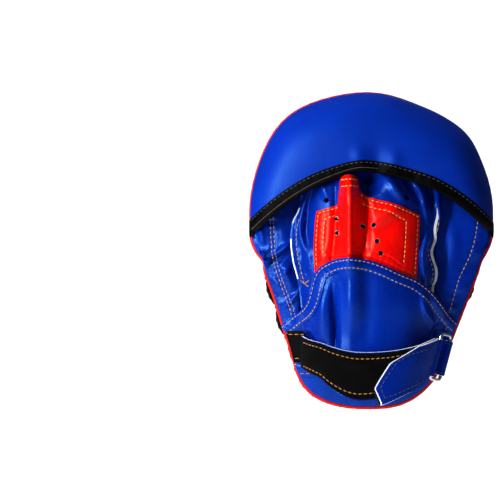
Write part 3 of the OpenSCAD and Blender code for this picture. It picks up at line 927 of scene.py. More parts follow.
def gusset_lace():
    """Bights of thick lacing, each a twisted cord that dives under its neighbour."""
    pitch = LACE_SPAN / BIGHTS
    mid = sum(GUSSET) / 2
    solids = []
    q = np.linspace(0, 2 * math.pi, 20, endpoint=False)

    def place(d, out, y):
        """out is measured from the slanted side wall at depth y."""
        t = (mid + y - GUSSET[0]) / (GUSSET[1] - GUSSET[0])
        inward = inset_at(low_rim(d, 0)[1])
        x, z = low_rim(d, out - t * inward + 1.5 * np.sin(math.pi * t))
        return np.stack([x, mid + bend(z) + y, z], -1)

    for i in range(BIGHTS):
        start = pitch * i - LACE_SPAN / 2
        reach = 1.5 + 2.0 * bell(start + 143, 24) + 0.9 * bell(start - 130, 18)
        loops = []
        for t in np.linspace(0.03, 0.97, 34):
            size = 0.25 + 0.75 * math.sin(math.pi * t) ** 0.6
            twist = 1 + 0.07 * np.cos(3 * (q - t * 9))
            out = 0.4 + reach * size * (1 + np.cos(q) * twist)
            loops.append(place(start + pitch * t, out, 8 * size * np.sin(q) * twist))
        solids.append(np.array(loops))
    for i in range(BIGHTS + 1):
        start = pitch * i - LACE_SPAN / 2
        loops = []
        for t in np.linspace(-1, 1, 12):
            wide = 2.6 * (1 - abs(t) ** 3) ** 0.5 + 0.3
            out = 0.9 + wide * 0.5 * (1 + np.cos(q))
            loops.append(place(start + wide * 0.9 * np.sin(q), out, 7.5 * t))
        solids.append(np.array(loops))
    declare(many("lacing", solids, [CORD]), "gusset_lace")


def foams():
    """Three foam layers inside the cover."""
    side = SKIN + 0.3
    few = angles[::3]

    def face(drop):
        top = [pad_point(few, EDGE_R + front_in(few), s, face_y(s) - drop)
               for s in (0.02, 0.15, 0.3, 0.45, 0.6, 0.75, 0.85, 0.95)]
        return top + [pad_point(
            few, EDGE_R * (1 - math.cos(q)) + drop * math.cos(q) + front_in(few), 1,
            mix(EDGE_Y, PAD_T - drop, math.sin(q))) for q in np.linspace(math.pi / 2, 0, 7)]

    def wall(y0, y1):
        ys = np.linspace(y0, y1, 6)
        soften = 1.4 * np.abs(np.linspace(-1, 1, 6)) ** 4
        return [gusset_point(few, y, side + 1.2 + s) for y, s in zip(ys, soften)]

    impact = face(side + 0.6) + [pad_point(few, side + 2.2 + front_in(few), s, 30.6)
                                 for s in (1, 0.97, 0.9, 0.7, 0.4, 0.05)]
    flat = (0.05, 0.4, 0.7, 0.92)
    core = ([pad_point(few, side + 3, s, 14.6) for s in flat] + wall(14.9, 29.6)
            + [pad_point(few, side + 9, s, 29.9) for s in flat[::-1]])
    palm = ([pad_point(few, side + 3, s, 13.8) for s in flat] + wall(13.5, 10.2)
            + [over(*shrunk(*rim(few), s), -SKIN - 0.9)
               for s in (0.96, 0.92, 0.86, 0.75, 0.5, 0.3, 0.05)])
    for node, loops, look in (("impact_foam", impact, IMPACT), ("core_foam", core, CORE),
                              ("palm_foam", palm, PALM)):
        declare(rings(node + "_layer", loops, [look]), node)


def back_panel():
    """The palm face's cover, drawn in at its rim."""
    shares = np.concatenate([np.linspace(0.02, 0.9, 60), np.linspace(0.91, 0.988, 12)])

    def loops(drop):
        out = []
        for s in shares:
            x, z = shrunk(*rim(angles), s)
            soft = -0.1 + 0.16 * waves(x, z, 21, 6, 0.01, 0.03)
            tuck = 0.25 * np.sin(angles * 60) * bell(1 - s, 0.06)
            out.append(over(x, z, soft + tuck - drop))
        return out

    piece = rings("palm_cover", loops(0) + loops(SKIN)[::-1], [BLUE])
    declare(piece, "back_panel")


# ---- Hood ----

def mouth_z(x):
    """Height of the hood's mouth: an arch with its peak a little left of the middle."""
    return MOUTH_Z - MOUTH_FALL * x * x + 1.6 * bell(x + 13, 15) - 1.6 * bell(x - 28, 18)


def hood_plan(u, v, inside=0.0):
    """Plan position at a share u along the mouth and v from the mouth to the rim."""
    w = u * (1 - inside / HOOD_SPAN)
    a = np.radians(90 - HOOD_TURN * w)
    hang = 0.2 + 0.9 * bell(u - 0.42, 0.28) - 0.35 * bell(u + 0.5, 0.3)
    rx, rz = rim(a, hang - inside)
    return mix(MOUTH_HALF * w, rx, v), mix(mouth_z(MOUTH_HALF * w), rz, v)


def hood_point(u, v, inside=0.0):
    """A point of the hood: u from side to side and v from the mouth to the top."""
    u, v = np.broadcast_arrays(u, v)
    w = u * (1 - inside / HOOD_SPAN)
    x, z = hood_plan(u, v, inside)
    soft = 0.6 * waves(x, z, 31, 6, 0.006, 0.016) * np.sin(math.pi * np.clip(v, 0, 1)) ** 0.5
    dimple = (-2.2 * bell(u - 0.03, 0.055) * bell(v - 0.1, 0.22)
              + 1.9 * (bell(u + 0.1, 0.05) + bell(u - 0.16, 0.05)) * bell(v - 0.2, 0.11)
              - 1.2 * bell(u - 0.32, 0.1) * bell(v - 0.04, 0.16))
    rise = (HOOD_H - SKIN - 0.3) * dome(w, 3.2, 0.6) * dome(v, 2.8, 0.58)
    return over(x, z, 0.3 + SKIN - inside + rise + (soft + dimple) * dome(w, 4, 1)
                * dome(v, 4, 1))


# The share of the mouth's half width at which the hood is closed
HOOD_END = 0.9785


def finger_hood():
    """The padded hood over the fingers, from its mouth to the pad's rim."""
    u = np.sin(np.linspace(-math.asin(HOOD_END), math.asin(HOOD_END), 170))[:, None]
    v = np.sin(np.linspace(0, math.pi / 2, 80))[None]
    piece = sheet("hood_cover", hood_point(u, v), hood_point(u, v, SKIN), [HOOD])
    declare(piece, "finger_hood")


def band_width(x):
    return 9.2 + 1.3 * smooth((-14 - x) / 36)


def on_hood(x, z):
    """The point of the hood's outer face over a plan position, found by Newton's method."""
    x, z = np.broadcast_arrays(np.asarray(x, float), np.asarray(z, float))
    u, v = np.clip(x / 101, -0.99, 0.99), np.full(x.shape, 0.1)
    step = 1e-4
    for _ in range(14):
        px, pz = hood_plan(u, v)
        ux, uz = [(a - b) / step for a, b in zip(hood_plan(u + step, v), (px, pz))]
        vx, vz = [(a - b) / step for a, b in zip(hood_plan(u, v + step), (px, pz))]
        size = ux * vz - uz * vx
        size = np.where(np.abs(size) < 30, 30 * np.where(size < 0, -1, 1), size)
        du = ((x - px) * vz - (z - pz) * vx) / size
        dv = ((z - pz) * ux - (x - px) * uz) / size
        u = np.clip(u + np.clip(du, -0.1, 0.1), -0.998, 0.998)
        v = np.clip(v + np.clip(dv, -0.2, 0.2), -0.05, 0.995)
    y = hood_point(u, np.maximum(v, 0))[..., 1]
    return np.stack([x, y, z], -1)


def band_at(x, w, lift=0.0):
    """On the tape, w above the mouth measured square to it, at lift over the hood."""
    x, w, lift = np.broadcast_arrays(x, w, lift)
    slope = (mouth_z(x + 0.1) - mouth_z(x - 0.1)) / 0.2
    size = np.hypot(slope, 1)
    px, pz = x - slope / size * w, mouth_z(x) + w / size
    reach = rim_reach(np.arctan2(pz - POLE_Z, px), 0.4)
    r = np.hypot(px, pz - POLE_Z)
    p = on_hood(*shrunk(px, pz, np.minimum(1, reach / r)))
    out = np.clip((np.abs(x) - 60) / 40, 0, 1) * 0.7
    tilt = np.stack([np.sign(x) * out, -np.ones_like(out), 0.3 * out], -1)
    tilt /= np.linalg.norm(tilt, axis=-1)[..., None]
    return p + tilt * lift[..., None]


# Height of the tape's folded groove over the mouth, which holds a painted highlight
BAND_GROOVE = 3.1


def hood_binding():
    """Tape folded over the hood's mouth, with its lower fold, its topstitch, and a grey cord in
    the fold's groove as a painted highlight.
    """
    x = np.linspace(-103.5, 103.5, 260)[:, None]
    w = np.linspace(0, 1, 20)[None]
    width = band_width(x) * w
    groove = 0.55 * bell(width - BAND_GROOVE, 0.5) * smooth((22 - x) / 30)
    ends = 0.8 * (1 - dome(2 * w - 1, 8, 0.5))
    ripple = 0.12 * np.sin(x * 0.7) * np.sin(math.pi * w)
    outer = band_at(x, width, 1.35 - groove - ends + ripple)
    inner = band_at(x, width, 0.15 + 0 * width)
    edge = inner[:, :1]
    turned = np.concatenate([edge + [0, 2.6, -0.2], edge + [0, 1.3, -0.8],
                             edge + [0, 0.2, -0.9]], axis=1)
    back = np.concatenate([edge + [0, 2.6, 0.6], edge + [0, 1.4, 0.2], edge + [0, 0.5, 0]],
                          axis=1)
    piece = sheet("hood_band", np.concatenate([turned, outer], 1),
                  np.concatenate([back, inner], 1), [BLACK_TAPE])
    declare(piece, "hood_binding")
    line = np.linspace(-96, 96, 900)
    row = stitch_row(lambda lift: band_at(line, band_width(line) - 1.7, lift), 1.2, MOUTH_THREAD)
    # A thin grey cord along the groove's left part: a painted highlight on the tape's fold.
    route = np.linspace(-99, 4, 400)
    path = band_at(route, BAND_GROOVE, 1.0)
    fold_highlight_cord = tube_points(path, path - band_at(route, BAND_GROOVE, 0.0), 0.28, 0.3)
    many("hood_band_stitches_and_painted_highlight", row + [fold_highlight_cord], [GREY])


# ---- Hand side ----

RIDGE_X = -20
GLOVE_LEFT = [(-60, -58), (-40, -59.5), (-23, -62), (-8, -66), (10, -68), (26, -66), (35, -61.5),
              (54, -58), (75, -54), (100, -47)]
GLOVE_RIGHT = [(-60, 58), (-33, 50.5), (-24, 53), (-14, 53.3), (-1, 49.5), (10, 52.4),
               (20, 52.4), (34, 55), (50, 53), (75, 46), (100, 40)]
GLOVE_FOLDS = [
    ([(-31.5, 66), (-31, 40), (-32, 15), (-35, -12)], -2.6, 3.0),
    ([(-7, 62), (-7, 40), (-6, 18), (-6, -6)], -3.2, 4.6),
    ([(-5, 98), (-4, 72), (-3, 60), (2, 46)], -10.5, 7.5),
    ([(-46, 66), (-42, 54), (-38, 44)], 1.5, 3.0),
    ([(-48, 60), (-53, 44), (-54.5, 30), (-55, 16), (-51, 2)], -3.2, 3.0),
    ([(-51, 62), (-55, 48), (-60, 32), (-60.5, 18), (-58, 4), (-52, -10)], 2.2, 2.2),
    ([(-57, 54), (-62, 45), (-66, 34)], 1.6, 2.0),
    ([(10, 66), (19, 54), (27, 43)], 2.4, 4.2),
    ([(26, 66), (34, 53), (43, 40)], -2.0, 3.2),
    ([(36, 62), (42, 48), (47, 30), (49, 18)], 2.0, 2.8),
    ([(46, 62), (50, 48), (52, 36)], -2.2, 2.2),
    ([(0, 24), (10, 30), (20, 36), (30, 40)], 1.3, 4.0),
    ([(-6, 12), (6, 18), (22, 24)], -0.7, 5.0),
    ([(14, 8), (24, 12), (36, 6)], 0.7, 6.0),
    ([(-44, 10), (-42, -4), (-46, -16)], 0.7, 4.0),
    ([(50.5, 22), (46, 8), (43, -4), (44, -17), (48, -30)], 3.6, 3.2),
    ([(-52, 8), (-54, -10), (-52, -26)], 1.2, 3.4),
    ([(-58, -8), (-54, -20), (-48, -26)], -1.0, 2.2)]
COVER_FOLDS = [
    ([(-33, -26), (-32.5, -46), (-31.5, -66), (-31, -96)], -8.0, 2.8),
    ([(-40, -30), (-43, -50), (-42, -78)], 4.6, 5.4),
    ([(-57, -44), (-59, -56), (-57, -72)], -1.8, 3.4),
    ([(-22, 8), (-20, -40), (-18, -96)], 1.2, 4.0),
    ([(-7, -10), (-5, -40), (-6, -82)], -2.2, 7.0),
    ([(42, -34), (43.5, -45), (46, -52), (51, -60), (53, -72)], 3.6, 2.2),
    ([(47, -34), (50, -46), (56, -58), (60, -70)], -1.8, 2.4),
    ([(24, -30), (30, -52), (28, -76)], 0.8, 8.0)]
VENTS = [(-39, 43.5), (29, 45.5), (-30.0, 28), (-30.0, 16), (0.4, 22.6), (3.4, 9.2), (6.6, -1),
         (-8.4, 21.4)]


def hem_z(x):
    """The height where the glove meets the wrist cover."""
    return curve(HEM, x)


def pocket_rise(x, z):
    """Height of the sheet over the back of the hand, without its folds."""
    u = (x + 6) / 54
    ridge = 8 * bell(x - RIDGE_X, 6.2) * (1 - smooth((z - 60) / 14))
    return (mix(mix(5.5, 9, smooth((z + 30) / 12)), 33, dome(u, 2.6, 1))
            * mix(1, 0.7, smooth((z - 50) / 22)) + ridge)


def glove_rise(x, z):
    """Height of the sheet over the back of the hand, with its folds."""
    shown = 1 - smooth((z - 60) / 12)
    soft = 0.5 * waves(x, z, 41, 7, 0.015, 0.05)
    crest = 4.5 * bell(x + 20.6, 5.2, 3) * smooth((z - 2) / 44) - 1.6 * bell(x + 9.5, 3.2)
    return pocket_rise(x, z) + shown * (1.8 * folds(x, z, GLOVE_FOLDS) + soft + crest)


def strap_rise_at(x):
    return STRAP_RISE * dome((x - BAND_MID) / BAND_HALF, 2.2, 0.6)


def cover_rise(x, z):
    half = mix(62, 76, smooth((-10 - z) / 50))
    free = (3.4 + 33.6 * dome(x / half, mix(2.6, 2.0, smooth((x + 16) / 24)), 1)
            * smooth((72 - np.abs(x)) / 14)
            + mix(8 * bell(x - RIDGE_X, 10), 4.6 * bell(x + 16.5, 9), smooth((hem_z(x) - z) / 20)))
    held = np.minimum(free, np.maximum(3.4, strap_rise_at(x) - 5.5 + bend(z)))
    return mix(free, held, smooth((-36 - z) / 40))


def wrist_rise(x, z):
    """Height of the wrist cover, with its folds, which flatten under the strap."""
    loose = smooth((76 - np.abs(x)) / 16)
    held = mix(1, 0.55, smooth((-74 - z) / 10))
    shape = folds(x, z, COVER_FOLDS) + 0.5 * waves(x, z, 43, 7, 0.012, 0.04)
    foot = mix(1, smooth((z - cover_foot(x)) / 8), smooth((np.abs(x) - 38) / 8))
    return mix(2.0, np.maximum(2.6, cover_rise(x, z) + shape * loose * held), foot)


def cover_foot(x):
    """The lower border of the wrist cover."""
    return np.maximum(mix(-86, np.where(x < 0, -72, -66), smooth((np.abs(x) - 44) / 10)),
                      flank_z(x) + 6)


def hand_sheet(name, x, z, rise, thick, materials, keep=None, spread=0.0, sides=None):
    """A sheet over the palm face at height rise(x, z), thick measured square to its surface.
    sides sets how far the back's first and last rows stand from the front's."""
    outer = over(x, z, rise(x, z))
    n = grid_normals(outer)
    n *= np.sign(-n[..., 1:2].mean())
    inner = outer - n * thick
    if np.any(spread):
        inner = bevelled(inner, spread)
    if sides:
        inner[0], inner[-1] = outer[0] + sides[0], outer[-1] + sides[1]
    return sheet(name, outer, inner, materials, keep=keep)


def recolour(piece, test, material=0):
    """Gives the cut walls whose centre passes the test another of the piece's materials."""
    for polygon in piece.data.polygons:
        if polygon.material_index == 1 and test(*(polygon.center / MM)):
            polygon.material_index = material


def glove_back():
    x, z = plan_grid(line_of(GLOVE_LEFT), line_of(GLOVE_RIGHT), lambda x: hem_z(x) + 0.2,
                     lambda x: 100, 121, 150)
    x, z, keep = punch(x, z, VENTS, 2.1)
    left, right = [np.stack([curve(side, up) + shift, up], 1) for side, up, shift in (
        (GLOVE_LEFT, np.arange(-27, 29.0), 4.0), (GLOVE_RIGHT, np.arange(-32, 4.0), -1.8))]

    def rise(x, z):
        curl = 1.2 * bell(x - curve(GLOVE_LEFT, z) - 6, 3.5) * smooth((z + 30) / 10)
        curl = curl + 1.8 * bell(curve(GLOVE_RIGHT, z) - x - 7, 3.5) * smooth((z + 40) / 10)
        return (glove_rise(x, z) + curl + seam(x, z, left, 0.4, 1.2, 0.25)
                + seam(x, z, right, 0.3, 1.0, 0.3, 9))

    piece = hand_sheet("hand_back", x, z, rise, SKIN, [BLUE, CUT], keep, 0.2,
                       ([-1.2, 0.5, 0], [2.3, 0.35, 0]))
    recolour(piece, lambda x, y, z: z > 37 or x < 0 and (z < -23 or 11 < z < 24))
    stitch("hand_back_stitches", rise, [left, right], TAN)
    declare(piece, "glove_back")


PATCH_LEFT = [(-24, -48.3), (0, -49.6), (20, -48.9), (36, -47.4), (70, -47)]
PATCH_RIGHT = [(-30, 37.2), (-10, 38.2), (10, 39.6), (36, 40.6), (70, 41)]
PATCH_TOP = [(-50, 33.5), (-40, 36.4), (-30.2, 39.2), (-28.8, 41), (-28.2, 46), (-27.6, 60),
             (-26.4, 63.6), (-23, 65), (-16, 65), (-12.9, 63.6), (-11.6, 60), (-10.6, 53),
             (-9, 49.8), (-3, 46.4), (4, 44), (14, 42.2), (28, 37), (42, 30.5)]


def patch_low(x):
    """The lower border of the red patch."""
    return np.maximum(hem_z(x) + 1.2, -30)


def knuckle_patch():
    """The red patch with its tongue, sewn round with two rows."""
    x, z = plan_grid(line_of(PATCH_LEFT), line_of(PATCH_RIGHT), patch_low,
                     lambda x: np.interp(x, *np.array(PATCH_TOP).T), 118, 116)
    x, z, keep = punch(x, z, VENTS[2:], 2.1)
    loop = outline(x, z)
    rows = [inset(loop, 2.1), inset(loop, 7.8)]
    rows[1][:, 0] -= 4.2 * smooth((rows[1][:, 0] - 14) / 14)

    def rise(x, z):
        edge = nearest(x, z, loop)[0]
        puff = mix(1.1, 2.6, smooth(edge / 3.2))
        return (glove_rise(x, z) + puff + 0.3
                + sum(seam(x, z, row, 0.5, 1.1, 0.16, 5.5, 3) for row in rows))

    piece = hand_sheet("red_patch", x, z, rise, 1.0, [RED, RED, CUT], keep, 0.15)
    shown = []
    for k, row in enumerate(rows):
        on_tongue = (np.abs(row[:, 0] + 20) < 9.5 + 1.5 * k) & (row[:, 1] > 30)
        shown.append(row[(row[:, 1] > patch_low(row[:, 0]) + 6.0 * k + 3.2) & ~on_tongue])
    cut = [r for row in shown for r in np.split(
        row, np.nonzero(np.hypot(*np.diff(row, axis=0).T) > 3)[0] + 1) if len(r) > 6]
    tongue = [[(-26.4, 60.6), (-20, 61.2), (-13.2, 60.6)], [(-26.6, 55), (-20, 55.6), (-12.6, 55)]]
    stitch("red_patch_stitches", rise, cut + [evenly(t, 1.0) for t in tongue], STRAW)
    declare(piece, "knuckle_patch")


def wrist_cover():
    x, z = plan_grid(lambda z: -68, lambda z: 68, cover_foot, lambda x: hem_z(x) - 0.6, 150, 96)
    piece = hand_sheet("wrist_flap", x, z, wrist_rise, SKIN, [BLUE])
    declare(piece, "wrist_cover")


HEM_ENDS = (-77.5, 74.0)


def hem_rise(x, z):
    inner = smooth((70 - np.abs(x)) / 10)
    return mix(3.2, wrist_rise(x, np.minimum(z, hem_z(x) - 1)) + 1.4, inner)


def wrist_hem():
    """The band along the wrist cover's arch, sewn down with a row near each edge."""
    s, t = np.meshgrid(np.linspace(*HEM_ENDS, 200), np.linspace(0, 1, 16), indexing="ij")
    slope = np.gradient(hem_z(s[:, 0]), s[:, 0])
    side = np.stack([slope, -np.ones_like(slope)], 1) / np.hypot(slope, 1)[:, None]
    width = 10.2
    x = s + side[:, :1] * width * t
    z = hem_z(s) + 0.9 + side[:, 1:] * width * t
    loop = np.stack([x[:, 0], z[:, 0]], 1)
    *rows, lower = [np.stack([s[:, 0] + side[:, 0] * w, hem_z(s[:, 0]) + 0.9 + side[:, 1] * w], 1)
                    for w in (1.9, 8.2, width)]

    def rise(x, z):
        low_side = smooth((2.4 - nearest(x, z, lower)[0]) / 2.2)
        return (hem_rise(x, z) + 0.9 * smooth(nearest(x, z, loop)[0] / 2) - 0.8 * low_side
                + sum(seam(x, z, row, 0.4, 0.9, 0.14, 5) for row in rows))

    piece = hand_sheet("wrist_flap_hem", x, z, rise, 1.0, [BLUE])
    stitch("wrist_flap_stitches", rise, [evenly(r, 1.0) for r in rows], TAN)
    declare(piece, "wrist_cover_hem")


LEFT_SEAM = [(-86.4, 38), (-85.6, 30), (-84.4, 10), (-83.4, -3), (-80, -16), (-76, -28),
             (-69.6, -45), (-66, -58), (-63.8, -70)]
RIGHT_SEAM = [(91, 30), (90, 24), (87.5, 9.5), (83, -4.5), (78, -15), (74.4, -23), (70, -38),
              (66, -53), (63.8, -65)]
LEFT_FOLDS = [
    ([(-100, -14), (-90, -8), (-80, -1), (-66, 10), (-60, 14)], 3.6, 2.2),
    ([(-98, -20), (-90, -13), (-80, -6.5), (-66, 4)], -2.6, 2.2),
    ([(-80, -6), (-73, -18), (-66, -34)], 2.2, 5.0),
    ([(-96, -2), (-92, 0), (-86, 3)], 1.3, 2.0),
    ([(-98, 14), (-92, 18), (-88, 27)], 1.1, 3.4),
    ([(-94, 8), (-88, 10), (-80, 14)], -0.8, 3.0),
    ([(-80, -20), (-74, -18), (-68, -10)], 1.3, 3.0),
    ([(-88, -24), (-82, -26), (-74, -32)], 0.9, 2.6),
    ([(-84, -36), (-78, -37), (-70, -36)], -1.0, 2.4),
    ([(-82, -46), (-74, -46), (-66, -39), (-58, -30)], 1.9, 2.4),
    ([(-76, 26), (-74, 8), (-72, -14)], 1.0, 4.5),
    ([(-97, 22), (-94, 16), (-92, 6)], 1.4, 2.4)]
RIGHT_FOLDS = [
    ([(98, 4), (92, 0), (84, -2)], 0.9, 3.2),
    ([(94, -10), (86, -12), (78, -18)], -0.8, 3.0),
    ([(86, -28), (78, -30), (70, -32)], 0.8, 3.0),
    ([(68, 24), (70, 4), (66, -20)], 1.0, 5.0),
    ([(76, -46), (70, -48), (64, -50)], 0.6, 2.6)]


def side_panel(side, node, inner_edge, seam_line, fold_table, gaps):
    """A sewn panel between the pocket and the rim, with its rows of stitches."""
    rows = [spline(seam_line, 1.0) + [gap, 0] for gap in gaps]
    ends = [lambda z: side * inner_edge, lambda z: flank_at(z, side) - 3.2 * side]
    x, z = plan_grid(*ends[::side], lambda x: np.maximum(flank_z(x) + 5, -95),
                     lambda x: MOUTH_Z - MOUTH_FALL * x * x + 5, 56, 150)

    def rise(x, z):
        room = smooth((rim_reach(np.arctan2(z - POLE_Z, x)) - np.hypot(x, z - POLE_Z)) / 7)
        shape = folds(x, z, fold_table) + 0.35 * waves(x, z, 51, 6, 0.02, 0.06)
        stitched = sum(seam(x, z, row, 0.4, 1.0, 0.3, 8) for row in rows)
        return 1.75 + np.maximum(-0.7, (1.5 * shape + stitched) * room)

    piece = hand_sheet(node + "_leather", x, z, rise, 1.3, [BLUE])
    stitch(node + "_stitches", rise, rows, TAN)
    declare(piece, node)


def thumb_flap():
    """The side leather that folds out from under the pocket's right edge."""
    left = [(4, 51.6), (12, 53.4), (20, 55), (28, 56.6), (36, 55.5), (46, 53), (66, 50)]
    right = [(4, 52.4), (12, 54.6), (20, 57), (27, 59), (34, 60), (46, 63.5), (66, 66)]
    x, z = plan_grid(line_of(left), line_of(right), lambda x: 5, lambda x: 62, 26, 60)

    def thumb_rise(x, z):
        share = (x - curve(left, z)) / (curve(right, z) - curve(left, z))
        return (mix(mix(6.5, 14, smooth((z - 24) / 16)), 4.0, smooth(share * 1.1))
                + 3.4 * bell(share - 0.42, 0.24) + 0.6 * np.sin(z / 7) * share)

    piece = hand_sheet("thumb_fold", x, z, thumb_rise, 1.2, [BLUE])
    z = np.arange(30, 8, -0.7)
    line = np.stack([np.interp(z, (8, 16, 25, 30), (52.6, 54.8, 57, 56.8)), z], 1)
    stitch("thumb_fold_stitches", thumb_rise, [line], TAN)


def bar_tacks():
    """Dense zigzag tacks where the loose edges are sewn down."""
    t = np.linspace(0, 1, 26)
    zig = 0.8 * (np.arange(26) % 2 - 0.5)
    for k, (x, z, size, turn, rise) in enumerate((
            (-60.5, -24, 8.5, -38, glove_rise), (63.4, -66, 4.0, 80, lambda x, z: 3.4 + 0 * x),
            (-57, -27, 4.5, 40, glove_rise))):
        turn = math.radians(turn)
        px = x + size * t * math.cos(turn) - zig * math.sin(turn)
        pz = z + size * t * math.sin(turn) + zig * math.cos(turn)
        path = over(px, pz, rise(px, pz) + 0.35)
        many("bar_tack_%d" % k, [tube_points(path, np.tile([0, -1.0, 0], (26, 1)), 0.4, 0.35)],
             [AMBER])


# ---- Wrist strap ----

def band_out(x):
    d = strap_rise_at(x + 0.2) - strap_rise_at(x - 0.2)
    n = np.hypot(d, 0.4)
    return -d / n, -0.4 / n


def band_lean(x):
    return np.radians(RING_LEAN) * smooth((x + 14) / 50)


def band_point(x, s, lift):
    """A point of the strap, s from -0.5 to 0.5 across it and lift above its inner face."""
    x, s, lift = np.broadcast_arrays(x, s, lift)
    ox, oy = band_out(x)
    w = curve(STRAP_WIDTH, x)
    return np.stack([x + ox * lift + s * w * np.sin(band_lean(x)), -strap_rise_at(x) + oy * lift,
                     curve(STRAP_LINE, x) + s * w * np.cos(band_lean(x))], axis=-1)


def cos_steps(low, high, count):
    """Steps from low to high, closer together at both ends."""
    return mix(low, high, 0.5 - 0.5 * np.cos(np.linspace(0, math.pi, count)))


def sag(x, s):
    """Small unevenness of the strap."""
    return 0.5 * waves(x, s * 36, 61, 5, 0.012, 0.035)


def at_ring(points):
    """Points in the ring's own axes, with the strap's bar along Z, taken to the frame's."""
    lean = math.radians(RING_LEAN)
    x, y, z = np.moveaxis(np.asarray(points, float), -1, 0)
    return np.stack([x * math.cos(lean) + z * math.sin(lean), y,
                     z * math.cos(lean) - x * math.sin(lean)], -1) + RING_AT


def strap_band():
    x = cos_steps(-59.5, 50.2, 170)[:, None]
    s = np.linspace(-0.5, 0.5, 30)[None]
    wave = sag(x, s)
    outer = band_point(x, s * 0.99, wave)
    inner = band_point(x, s * 1.008, wave - SKIN)
    band = sheet("strap_backing", outer, inner, [BLUE, CUT, LOOP], body=None)
    recolour(band, lambda x, y, z: z < -88, 2)
    x = cos_steps(-59.2, 49.4, 170)[:, None]
    s = np.linspace(-0.478, 0.478, 40)[None]
    edge = 0.5 * (1 - dome(s / 0.478, 10, 0.5))
    rows = [0.478 - 0.115, -0.478 + 0.115]
    dip = sum(0.35 * bell(s - r, 0.03) for r in rows)
    loop = sheet("strap_loop_mat", band_point(x, s, 1.35 - edge - dip + sag(x, s)),
                 band_point(x, s, 0.1 + sag(x, s)), [LOOP], body=None)
    line = np.linspace(-57, 48, 700)
    solids = [stitch_row(lambda lift: band_point(line, r, lift + sag(line, r)), 1.15,
                         STRAP_THREAD) for r in rows]
    sewn = many("strap_stitches", sum(solids, []), [AMBER], body=None)
    for piece in (band, loop, sewn):
        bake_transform(piece)
    declare(band, "strap_band")
    declare(loop, "strap_loop_face")


def turn_point(phi, s, radius):
    """Round the strap's bar, at angle phi in degrees, s across the strap."""
    phi = np.radians(phi)
    phi, s, radius = np.broadcast_arrays(phi, s, radius)
    return at_ring(np.stack([radius * np.cos(phi), radius * np.sin(phi), s * 32.6 - 1.4], -1))


# Where the tail's tip lies along the strap, and how far its face stands off it
TIP_X = 10
TAIL_LIFT = 4.2


def tail_tip(s):
    """The x of the tail's end at a share s of the strap's width, with softened corners."""
    shares, ends = np.array(TAIL_TIP).T
    return sum(np.interp(s + d, shares, ends) for d in (-0.02, 0, 0.02)) / 3


def tail_share(x, k):
    """k runs from -0.5 to 0.5 across the tail, which is wider than the strap below it."""
    low = mix(-0.66, -0.5, smooth((x - 47) / 3))
    return mix(low, 0.5, k + 0.5)


def tip_x(k):
    return tail_tip(tail_share(TIP_X, k))


def strap_tail():
    """The tail: from its slanted tip over the strap, then round the ring's bar."""
    k = np.linspace(-0.5, 0.5, 44)[None]

    def layer(lift, grow=1.0, past=0.0):
        kk = k * grow
        tip = tip_x(kk)
        x = mix(tip - past, 49.0, np.linspace(0, 1, 90)[:, None] ** 0.9)
        flat = band_point(x, tail_share(x, kk), lift + 0.5 * sag(tip, kk))
        round_bar = turn_point(np.linspace(-88, 168, 34)[:, None], kk,
                               np.full((34, 1), lift - 3.5 + 2.42))
        t = np.linspace(0, 1, 8)[1:-1, None, None]
        join = mix(flat[-1], round_bar[0], t)
        return np.concatenate([flat, join, round_bar])

    outer, inner = layer(TAIL_LIFT, 0.98), layer(2.85, 1.012, 0.8)
    declare(sheet("strap_end", outer, inner, [BLUE, CUT], "tail"), "strap_tail")
    kk = np.linspace(-0.47, 0.47, 34)[None]
    share = tail_share(TIP_X, kk)
    hook_x = mix(tail_tip(share) - 1.4 - 1.2 * smooth(-share * 2), 26,
                 np.linspace(0, 1, 60)[:, None])
    hook = sheet("strap_end_hooks", band_point(hook_x, share, 2.75),
                 band_point(hook_x, share, 1.75), [HOOK], "tail")
    declare(hook, "tail_hook_patch")
    top, low = 0.37, -0.38
    v = np.linspace(low, top, 80)
    solids = []
    for x, v in ((np.linspace(tip_x(top) + 3, 47, 60), np.full(60, top)),
                 (np.linspace(tip_x(low) + 4, 47, 60), np.full(60, low)), (tip_x(v) + 4.4, v)):
        unevenness = 0.5 * sag(tip_x(v), v)
        solids += stitch_row(lambda lift: band_point(x, tail_share(x, v), lift + unevenness),
                             TAIL_LIFT, TAIL_THREAD)
    many("strap_end_stitches", solids, [GREY], "tail")


def flank_piece(name, node, material, low, high, margin, right, h, rows):
    """A flat piece sewn on the palm face beside the left flank."""
    t, z = np.meshgrid(np.linspace(0, 1, 30), np.linspace(low, high, 34), indexing="ij")
    x = mix(margin + flank_at(z, -1), right, t)
    loop = outline(x, z)

    def rise(x, z):
        return h + 2.0 - 0.6 * (1 - smooth(nearest(x, z, loop)[0] / 1.6)) + sum(
            -0.25 * bell(z - r, 0.9) for r in rows)

    piece = hand_sheet(name, x, z, rise, 1.3, [material, CUT])
    declare(piece, node)
    lines = [np.stack([np.linspace(margin + flank_at(r, -1) + 1.5, right - 0.5, 30),
                       np.full(30, r)], 1) for r in rows]
    stitch(name + "_stitches", rise, lines, AMBER)


